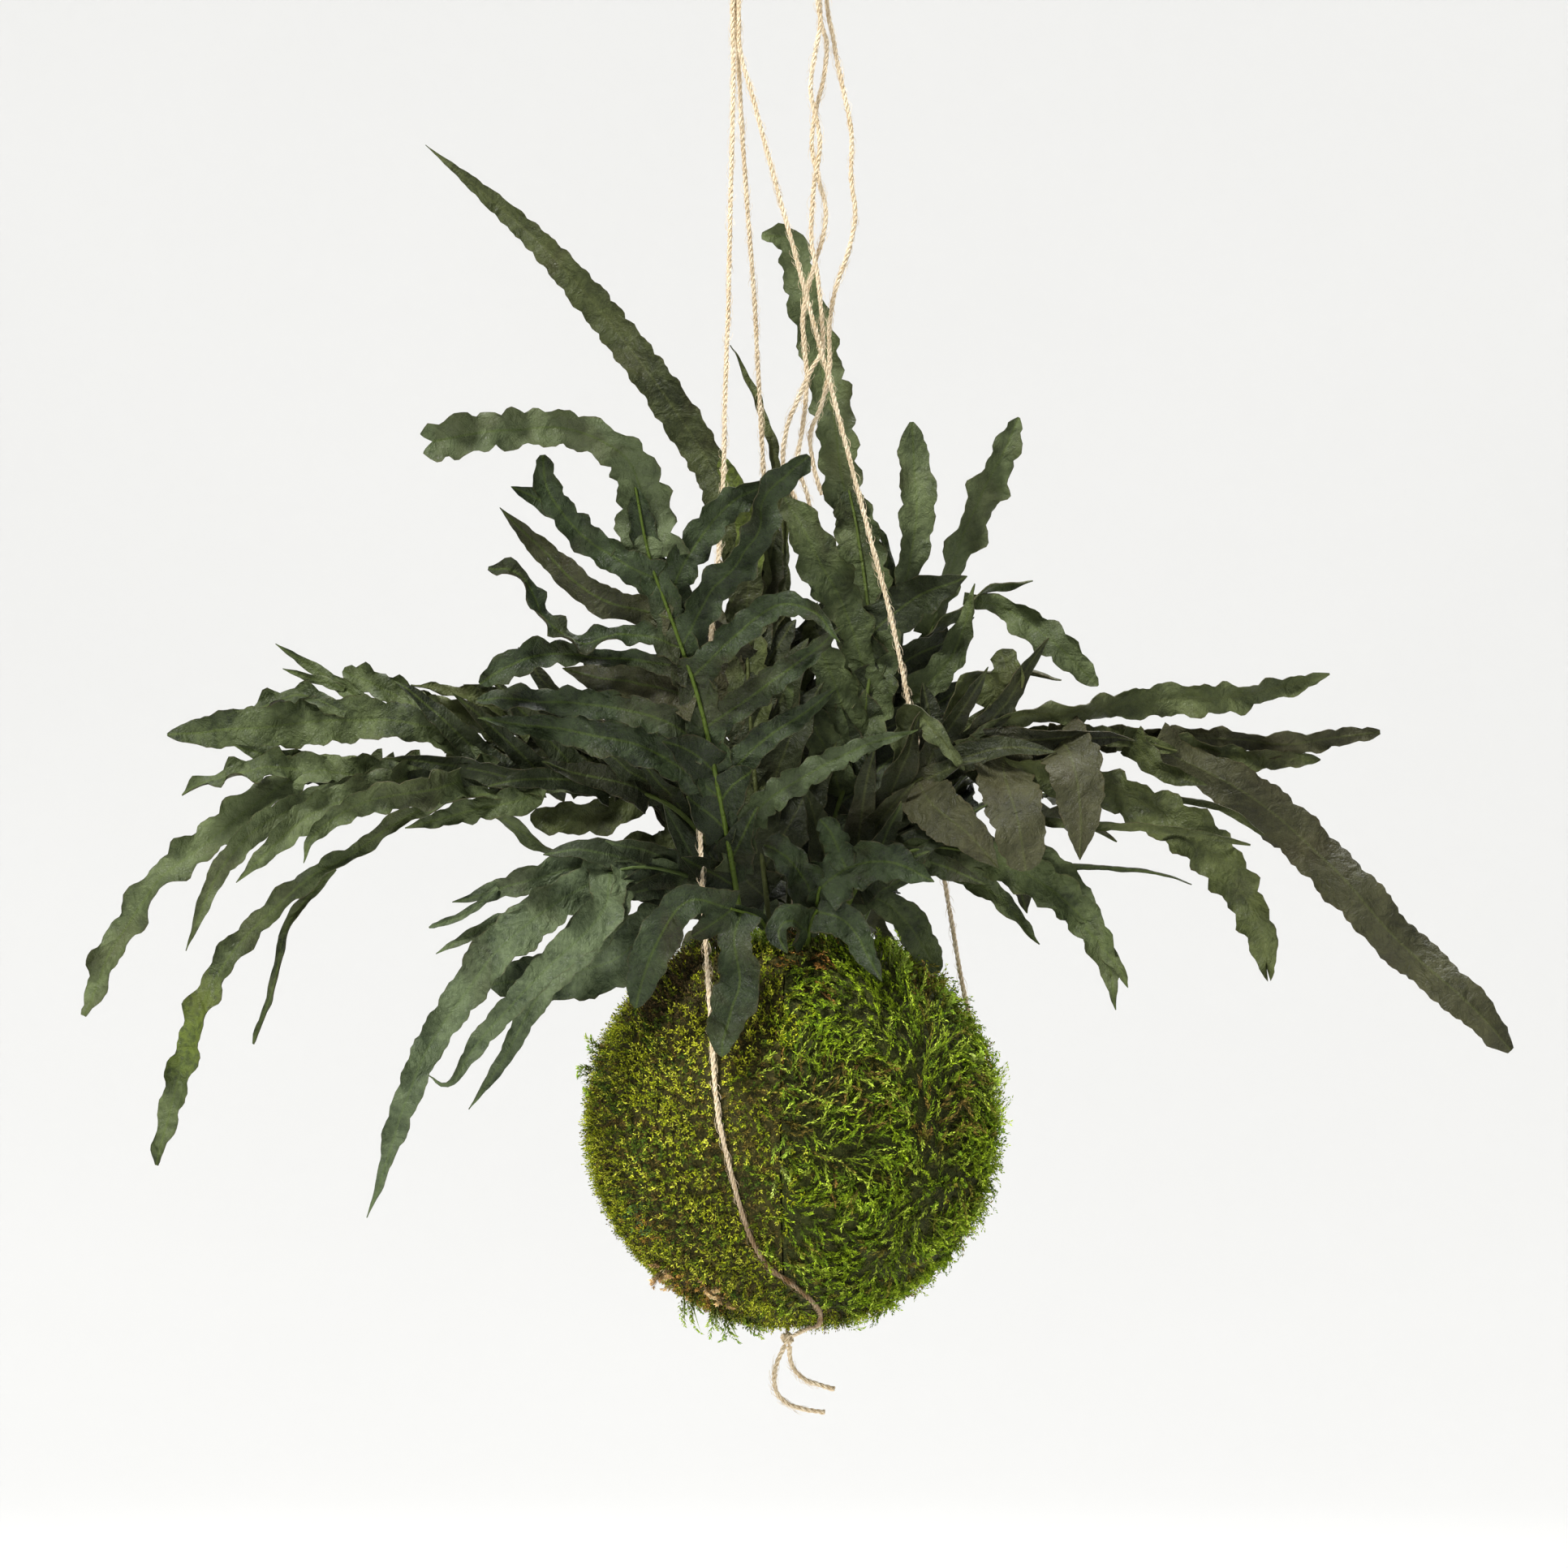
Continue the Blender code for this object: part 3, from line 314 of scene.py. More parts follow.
def shade(red: int, green: int, blue: int) -> Colour:
    """Return a display colour, each part from 0 to 255, as the linear colour that shaders take."""
    parts = [part / 255 for part in (red, green, blue)]
    linear = [part / 12.92 if part <= 0.04045 else ((part + 0.055) / 1.055) ** 2.4 for part in parts]
    return (linear[0], linear[1], linear[2], 1.0)


Feed = Socket | float | Colour | Point


@dataclass(frozen=True)
class Speckle:
    """Smooth noise, of which the part from low to high is stretched to run from least to most."""

    scale: float  # how fine it is: grains to a metre, or to a unit of another measure
    detail: float
    low: float = 0.3
    high: float = 0.7
    warp: float = 0.0
    least: float = 0.0
    most: float = 1.0


class Graph:
    """A material's nodes, with a short call for each kind that the finishes use."""

    def __init__(self, name: str) -> None:
        """Start a material with one Principled shader."""
        self.material = bpy.data.materials.new(name)
        self.material.use_nodes = True
        self.tree = self.material.node_tree
        self.shader = self.tree.nodes["Principled BSDF"]

    def feed(self, socket: Socket, value: Feed) -> None:
        """Link a socket to an input, or set the input to a number or colour.

        Args:
            socket: the input.
            value: what to feed it.
        """
        if isinstance(value, Socket):
            self.tree.links.new(value, socket)
        else:
            socket.default_value = value

    def node(self, kind: str, inputs: dict[str | int, Feed], **settings: object) -> bpy.types.Node:
        """Return a new node.

        Args:
            kind: the node's type without its ShaderNode prefix.
            inputs: what each input gets, by its name or number.
            settings: the node's own settings.

        Returns:
            The node.
        """
        made = self.tree.nodes.new("ShaderNode" + kind)
        for key, value in settings.items():
            setattr(made, key, value)
        for key, value in inputs.items():
            self.feed(made.inputs[key], value)
        return made

    def math(self, operation: str, first: Feed, second: Feed = 0.0) -> Socket:
        """Return the result of a sum on two numbers."""
        return self.node("Math", {0: first, 1: second}, operation=operation).outputs[0]

    def times(self, *values: Feed) -> Feed:
        """Return the product of the numbers."""
        return reduce(lambda first, second: self.math("MULTIPLY", first, second), values)

    def total(self, *values: Feed) -> Feed:
        """Return the sum of the numbers."""
        return reduce(lambda first, second: self.math("ADD", first, second), values)

    def attribute(self, name: str) -> Socket:
        """Return a value that the mesh holds at each point."""
        return self.node("Attribute", {}, attribute_name=name).outputs["Vector"]

    def parts(self, vector: Feed) -> tuple[Socket, ...]:
        """Return the three numbers of a vector."""
        return tuple(self.node("SeparateXYZ", {0: vector}).outputs)

    def place(self) -> Socket:
        """Return the place on the piece, in metres in the frame."""
        return self.node("TexCoord", {}).outputs["Object"]

    def stretch(self, value: Feed, low: float, high: float, least: float = 0.0,
                most: float = 1.0) -> Socket:
        """Return a number moved from one range to another, cut at the ends of the new one."""
        inputs = {0: value, 1: low, 2: high, 3: least, 4: most}
        return self.node("MapRange", inputs, clamp=True).outputs[0]

    def speckle(self, kind: Speckle, vector: Feed | None = None) -> Socket:
        """Draw stretched noise over the piece, or over another vector.

        Args:
            kind: the noise's size, detail and stretch.
            vector: where it lies, or None for the piece itself.

        Returns:
            The noise.
        """
        inputs = {"Vector": self.place() if vector is None else vector, "Scale": kind.scale,
                  "Detail": kind.detail, "Distortion": kind.warp}
        noise = self.node("TexNoise", inputs).outputs[0]
        return self.stretch(noise, kind.low, kind.high, kind.least, kind.most)

    def blend(self, share: Feed, first: Feed, second: Feed, mode: str = "MIX") -> Socket:
        """Return a colour between two, or the two combined in another mode."""
        inputs = {0: share, 6: first, 7: second}
        return self.node("Mix", inputs, data_type="RGBA", blend_type=mode).outputs[2]

    def wash(self, colour: Feed, paint: Feed, *shares: Feed) -> Socket:
        """Return a colour with paint over it, as thick as the product of the shares."""
        return self.blend(self.times(*shares), colour, paint)

    def bump(self, height: Feed, strength: float, depth: float) -> None:
        """Roughen the shader's normal by a height, at a depth in metres."""
        inputs = {"Height": height, "Strength": strength, "Distance": depth}
        self.feed(self.shader.inputs["Normal"], self.node("Bump", inputs).outputs[0])

    def finish(self, colour: Feed, roughness: Feed, specular: float) -> Material:
        """Give the shader its colour and gloss.

        Args:
            colour: its base colour.
            roughness: how dull it is.
            specular: how strongly it shines, the same all over.

        Returns:
            The material.
        """
        self.feed(self.shader.inputs["Base Color"], colour)
        self.feed(self.shader.inputs["Roughness"], roughness)
        self.shader.inputs["Specular IOR Level"].default_value = specular
        return self.material


@dataclass(frozen=True)
class LeafFinish:
    """The skin of a frond: a green upper side, a browner underside, ribs, veins, a dry margin and painted
    shade.
    """

    name: str
    slot: str
    upper_dark: Colour
    upper_light: Colour
    under_dark: Colour
    under_light: Colour
    rib: Colour
    pale: Colour = shade(114, 126, 88)
    glow: Colour = shade(92, 106, 40)
    margin: Colour = shade(72, 63, 42)
    dry: Colour = shade(56, 48, 31)
    # painted shade: the colour that blades with a pale value below zero, such as the small lobes deep in the
    # crown, darken towards
    painted_shade: Colour = shade(18, 22, 15)
    vein_gap: float = 4.4  # millimetres between side veins, along the blade
    vein_slant: float = 1.1  # how far the side veins sweep forward as they go outwards

    cloud: Speckle = Speckle(55, 4, 0.36, 0.64, 0.6)
    grain: Speckle = Speckle(420, 4)
    wander: Speckle = Speckle(160, 2, 0.0, 1.0, most=1.6)  # in millimetres
    scuffs: Speckle = Speckle(26, 5, 0.52, 0.66, 1.2)
    puckers: Speckle = Speckle(120, 3, 0.35, 0.65, 1.5)
    cloud_share: float = 0.55  # of the mottling, with the grain as the rest
    vein_width: float = 0.4  # millimetres to either side
    rib_width: Pair = (0.6, 0.2)  # millimetres from the midrib where it starts and is full
    mesh_scale: float = 0.9  # cells of fine veins to a millimetre
    mesh_width: float = 0.16
    rim: float = 0.9  # where the dry margin starts, as a share of the half width
    scuff_paint: float = 0.3
    vein_paint: float = 0.1
    mesh_paint: float = 0.14
    relief: tuple[float, ...] = (0.2, 0.12, 0.25, 0.8)  # of bulges, fine veins, grain and puckers
    depth: float = 0.0007
    gloss: Pair = (0.42, 0.64)  # roughness of the smoothest and the roughest grain
    shine: float = 0.2

    def side_veins(self, graph: Graph, along: Feed, outwards: Feed) -> tuple[Socket, Socket]:
        """Draw the side veins.

        Args:
            graph: the material's nodes.
            along: the distance along the blade.
            outwards: the distance from its midrib.

        Returns:
            Where the veins run, and how the skin bulges between them.
        """
        swept = graph.math("SUBTRACT", graph.total(along, graph.speckle(self.wander)),
                           graph.times(outwards, self.vein_slant))
        off = graph.math("PINGPONG", swept, self.vein_gap / 2)
        bulge = graph.math("POWER", graph.stretch(off, 0.0, self.vein_gap / 2), 0.5)
        return graph.stretch(off, self.vein_width, 0.0), bulge

    def material(self) -> Material:
        """Return the finish as a material that reads the blade's own measures."""
        graph = Graph(self.name)
        along, across, edge = graph.parts(graph.attribute("blade"))
        pale, glow, ribbed = graph.parts(graph.attribute("tone"))
        under = graph.parts(graph.attribute("skin"))[0]
        grain = graph.speckle(self.grain)
        outwards = graph.math("ABSOLUTE", across)
        vein, bulge = self.side_veins(graph, along, outwards)
        cells = graph.node("TexVoronoi", {"Vector": graph.attribute("blade"), "Scale": self.mesh_scale},
                           feature="DISTANCE_TO_EDGE").outputs[0]
        fine_veins = graph.stretch(cells, self.mesh_width, 0.0)
        rim = graph.stretch(graph.math("ABSOLUTE", edge), self.rim, 1.0)

        mottle = graph.total(graph.times(graph.speckle(self.cloud), self.cloud_share),
                             graph.times(grain, 1 - self.cloud_share))
        colour = graph.blend(under, graph.blend(mottle, self.upper_dark, self.upper_light),
                             graph.blend(mottle, self.under_dark, self.under_light))
        # painted shade: a pale value below zero darkens the blade towards the painted shade colour
        colour = graph.wash(colour, self.painted_shade, graph.stretch(pale, -1.0, 0.0, 1.0, 0.0))
        colour = graph.wash(colour, self.pale, graph.stretch(pale, 0.0, 1.0),
                            graph.stretch(mottle, 0.0, 1.0, 0.55, 1.0))
        colour = graph.wash(colour, self.glow, glow, graph.stretch(grain, 0.2, 0.6, 0.25, 0.8))
        colour = graph.wash(colour, self.dry, graph.speckle(self.scuffs), self.scuff_paint)
        colour = graph.wash(colour, self.upper_dark, vein, self.vein_paint)
        colour = graph.wash(colour, self.rib, fine_veins, self.mesh_paint)
        lit_rib = graph.math("MAXIMUM", graph.times(graph.stretch(outwards, *self.rib_width), ribbed),
                             graph.stretch(ribbed, 0.85, 1.0))
        colour = graph.wash(colour, self.rib, lit_rib)
        colour = graph.wash(colour, self.margin, rim, graph.stretch(grain, 0.3, 0.7, 0.1, 0.6))

        heights = (bulge, fine_veins, grain, graph.speckle(self.puckers))
        graph.bump(graph.total(*map(graph.times, heights, self.relief)), 1.0, self.depth)
        return graph.finish(colour, graph.stretch(grain, 0.0, 1.0, *self.gloss), self.shine)


@dataclass(frozen=True)
class MossFinish:
    """Living moss: each shoot's own colour, darkened by painted shade at its foot and mottled along it."""

    name: str
    slot: str
    # painted shade deep in the coat, at the shoots' feet
    foot: Colour = shade(42, 42, 12)

    mottle: Speckle = Speckle(900, 3, least=0.72, most=1.2)
    patches: Speckle = Speckle(70, 3, 0.35, 0.65, least=0.8, most=1.15)
    skin: Speckle = Speckle(1500, 2, 0.0, 1.0)
    foot_shade_top: Pair = (0.05, 0.6)  # where a shoot's own colour starts over the painted shade at its foot, and where it is full, as shares of its height

    def material(self) -> Material:
        """Return the finish as a material that reads each shoot's colour and height."""
        graph = Graph(self.name)
        height = graph.parts(graph.attribute("rise"))[0]
        mottle = graph.speckle(self.mottle)
        colour = graph.blend(1.0, graph.attribute("tint"), graph.times(mottle, graph.speckle(self.patches)),
                             "MULTIPLY")
        # painted shade: each shoot darkens towards the foot colour low down, deep in the coat
        colour = graph.blend(graph.stretch(height, *self.foot_shade_top), self.foot, colour)
        graph.bump(graph.speckle(self.skin), 0.3, 0.0001)
        roughness = graph.stretch(mottle, self.mottle.least, self.mottle.most, 0.95, 0.7)
        return graph.finish(colour, roughness, 0.2)


@dataclass(frozen=True)
class EarthFinish:
    """Damp peat, or the felt of old moss under the living shoots."""

    name: str
    slot: str
    dark: Colour
    light: Colour
    fibre: Colour

    crumbs: Speckle = Speckle(260, 6)
    patches: Speckle = Speckle(45, 3, 0.35, 0.65)
    threads: Speckle = Speckle(520, 2, 0.56, 0.66, 3.0)
    grit: float = 700.0  # grains to a metre

    def material(self) -> Material:
        """Return the finish as a crumbly material with fibres in it."""
        graph = Graph(self.name)
        crumbs = graph.speckle(self.crumbs)
        grit = graph.node("TexVoronoi", {"Vector": graph.place(), "Scale": self.grit}).outputs[0]
        colour = graph.blend(crumbs, self.dark, self.light)
        colour = graph.wash(colour, self.dark, graph.speckle(self.patches), 0.5)
        colour = graph.wash(colour, self.fibre, graph.speckle(self.threads), 0.6)
        graph.bump(graph.total(crumbs, graph.times(grit, 0.5)), 1.0, 0.0012)
        return graph.finish(colour, graph.stretch(crumbs, 0.0, 1.0, 0.95, 0.75), 0.2)


@dataclass(frozen=True)
class JuteFinish:
    """Raw jute: pale straw strands streaked along their length, stained where they lie on wet moss."""

    name: str
    slot: str
    dark: Colour = shade(186, 162, 124)
    light: Colour = shade(247, 234, 208)
    stain: Colour = shade(112, 84, 50)

    streaks: Speckle = Speckle(2.6, 4, 0.32, 0.68, 0.4)
    patches: Speckle = Speckle(120, 3, 0.35, 0.65)
    streak_draw: float = 0.35  # how much the streaks are drawn out along the twine
    streak_share: float = 0.7

    def material(self) -> Material:
        """Return the finish as a material that reads the place along each ply."""
        graph = Graph(self.name)
        along, around, stained = graph.parts(graph.attribute("lay"))
        drawn = graph.node("CombineXYZ", {0: graph.times(along, self.streak_draw), 1: around, 2: 0.0})
        fibres = graph.speckle(self.streaks, drawn.outputs[0])
        patch = graph.speckle(self.patches)
        mixed = graph.total(graph.times(fibres, self.streak_share),
                            graph.times(patch, 1 - self.streak_share))
        colour = graph.wash(graph.blend(mixed, self.dark, self.light), self.stain, stained,
                            graph.stretch(patch, 0.0, 1.0, 0.6, 1.0))
        graph.bump(fibres, 0.7, 0.0002)
        return graph.finish(colour, graph.stretch(fibres, 0.0, 1.0, 0.85, 0.65), 0.25)


@dataclass(frozen=True)
class StudioFinish:
    """Matt pale paint for the floor that curves up around the plant."""

    name: str
    paint: Colour

    uneven: Speckle = Speckle(1.2, 2, least=0.985)

    def material(self) -> Material:
        """Return the finish as a faintly uneven matt material."""
        graph = Graph(self.name)
        return graph.finish(graph.blend(1.0, self.paint, graph.speckle(self.uneven), "MULTIPLY"), 0.9, 0.1)


TEAL_LEAF = LeafFinish("leaf_teal", "frond_green", shade(10, 16, 9), shade(56, 68, 43),
                       shade(33, 34, 21), shade(63, 64, 41), shade(68, 84, 26))
GREEN_LEAF = LeafFinish("leaf_green", "frond_green", shade(26, 34, 19), shade(87, 98, 61),
                        shade(40, 42, 26), shade(76, 77, 51), shade(78, 92, 40))
OLIVE_LEAF = LeafFinish("leaf_olive", "frond_olive", shade(32, 37, 20), shade(84, 92, 52),
                        shade(39, 39, 25), shade(72, 72, 48), shade(74, 80, 42))
PALE_LEAF = LeafFinish("leaf_pale", "frond_green", shade(34, 44, 29), shade(98, 111, 79),
                       shade(44, 51, 34), shade(84, 91, 66), shade(82, 98, 54))
SOIL_FINISH = EarthFinish("wet_soil", "soil", shade(38, 28, 20), shade(84, 62, 44), shade(120, 96, 64))
FELT_OLIVE = EarthFinish("moss_felt_olive", "moss_olive", shade(36, 34, 14), shade(70, 68, 26),
                         shade(108, 96, 44))
FELT_GREEN = EarthFinish("moss_felt_green", "moss_bright", shade(34, 36, 14), shade(64, 72, 26),
                         shade(102, 98, 46))
OLIVE_MOSS = MossFinish("moss_olive_shoots", "moss_olive")
BRIGHT_MOSS = MossFinish("moss_bright_shoots", "moss_bright")
JUTE = JuteFinish("jute_twine", "jute")
STUDIO_PAINT = StudioFinish("studio_paint", shade(212, 212, 211))


# ---------------- the fronds

class Outline(Enum):
    """How wide a blade is along its length: pairs of the place and the share of the full width."""

    STRAP = ((0, 0.55), (0.2, 0.95), (0.5, 1.0), (0.85, 0.8), (0.96, 0.55), (1, 0.15))
    SPEAR = ((0, 0.6), (0.3, 1.0), (0.6, 0.85), (0.85, 0.45), (1, 0))
    BELLY = ((0, 0.35), (0.35, 0.8), (0.6, 1.0), (0.85, 0.7), (0.96, 0.4), (1, 0.05))
    CLUB = ((0, 0.5), (0.35, 0.55), (0.7, 1.0), (0.9, 0.85), (0.97, 0.5), (1, 0.1))
    TAIL = ((0, 0.6), (0.25, 1.0), (0.5, 0.65), (0.8, 0.45), (1, 0))
    WAIST = ((0, 0.9), (0.15, 1.0), (0.4, 0.62), (0.7, 0.64), (0.9, 0.72), (0.97, 0.66), (1, 0.3))


STRAP, SPEAR, BELLY, CLUB, TAIL, WAIST = Outline


class Face(Enum):
    """Which side of a blade looks towards the front of its frond."""

    UPPER = 0.0
    UNDER = 1.0


UPPER, UNDER = Face


@dataclass(frozen=True)
class Habit:
    """How a blade's margin waves and its halves fold."""

    wave: float = 10.5  # millimetres from one scallop of the margin to the next
    depth: float = 0.28  # how far the notches cut in, as a share of the half width
    ruffle: float = 0.42  # how far the scallops swing up and down, as a share of the half width
    fold: float = 0.3  # how far the margins rise towards the upper side, as a share of it
    swing: float = 1.8  # millimetres that the blade sways along its length
    crease: float = 0.7  # millimetres of crumpling
    roll: float = 13.0  # degrees that the blade turns to and fro about its own length
    breadth: float = 1.14  # a living blade's width against its packed one


CALM = Habit(wave=12, depth=0.18, ruffle=0.26, fold=0.25)
ROUNDED = Habit(wave=9, depth=0.16, ruffle=0.16, fold=0.3, crease=0.12, roll=6, breadth=1.2)
FLAT = Habit(wave=14, depth=0.12, ruffle=0.14, fold=0.1, swing=1.0, crease=0.5)
WAVY = Habit()
SCALLOPED = Habit(wave=8.5, depth=0.28, ruffle=0.4, fold=0.28)
FRILLED = Habit(wave=7, depth=0.34, ruffle=0.6, fold=0.34)
FOLDED = Habit(wave=9.5, depth=0.34, ruffle=0.56, fold=0.5, breadth=0.88)
SLIM = Habit(wave=12.5, depth=0.36, ruffle=0.46, fold=0.3, breadth=0.92)
CUPPED = Habit(wave=19, depth=0.14, ruffle=0.3, fold=-0.3, crease=0.25, roll=5, breadth=1.2)
HANGING = Habit(wave=12, depth=0.1, ruffle=0.14, fold=0.1, crease=0.4, roll=6, breadth=1.4)
CRUMPLED = Habit(wave=7, depth=0.34, ruffle=0.6, fold=0.3, swing=2.0, crease=1.6)
THREAD = Habit(wave=10, depth=0.3, ruffle=0.2, fold=0.3, swing=0.8, crease=0.1)


@dataclass(frozen=True)
class Lobe:
    """One blade of a frond.

    It starts at a share of its stem's length, or at None in the blade of a neighbouring lobe.  Its
    turn is how far it leans out of the frond's plane, in degrees at its base and its tip.
    """

    start: float | None
    points: tuple[Point, ...]
    width: float
    habit: Habit = WAVY
    outline: Outline = SPEAR
    turn: Pair = (0.0, 0.0)
    face: Face = UPPER
    # above zero pale washes the blade towards the pale colour; below zero it is painted shade
    pale: float = 0.0
    glow: Pair | None = None
    notch: float = 0.0


@dataclass(frozen=True)
class Filling:
    """Small lobes that fill the gaps low on a stem: where they grow and how large they are."""

    start: float
    end: float
    count: int
    length: float
    width: float
    opening: Pair = (25.0, 48.0)  # degrees between a lobe and the stem
    depth: float = 26.0  # degrees that they lean out of the frond's plane, either way


@dataclass(frozen=True)
class Frond:
    """One frond of the plant: a stem out of its socket, a narrow wing along it and its lobes."""

    name: str
    finish: LeafFinish
    socket: Pair
    stem: tuple[Point, ...]
    wing: tuple[float, float, float]  # the stem's shares where it starts and ends, and its width
    lobes: tuple[Lobe, ...]
    filling: Filling | None = None
    facing: Point = FRONT  # where the blades' faces look


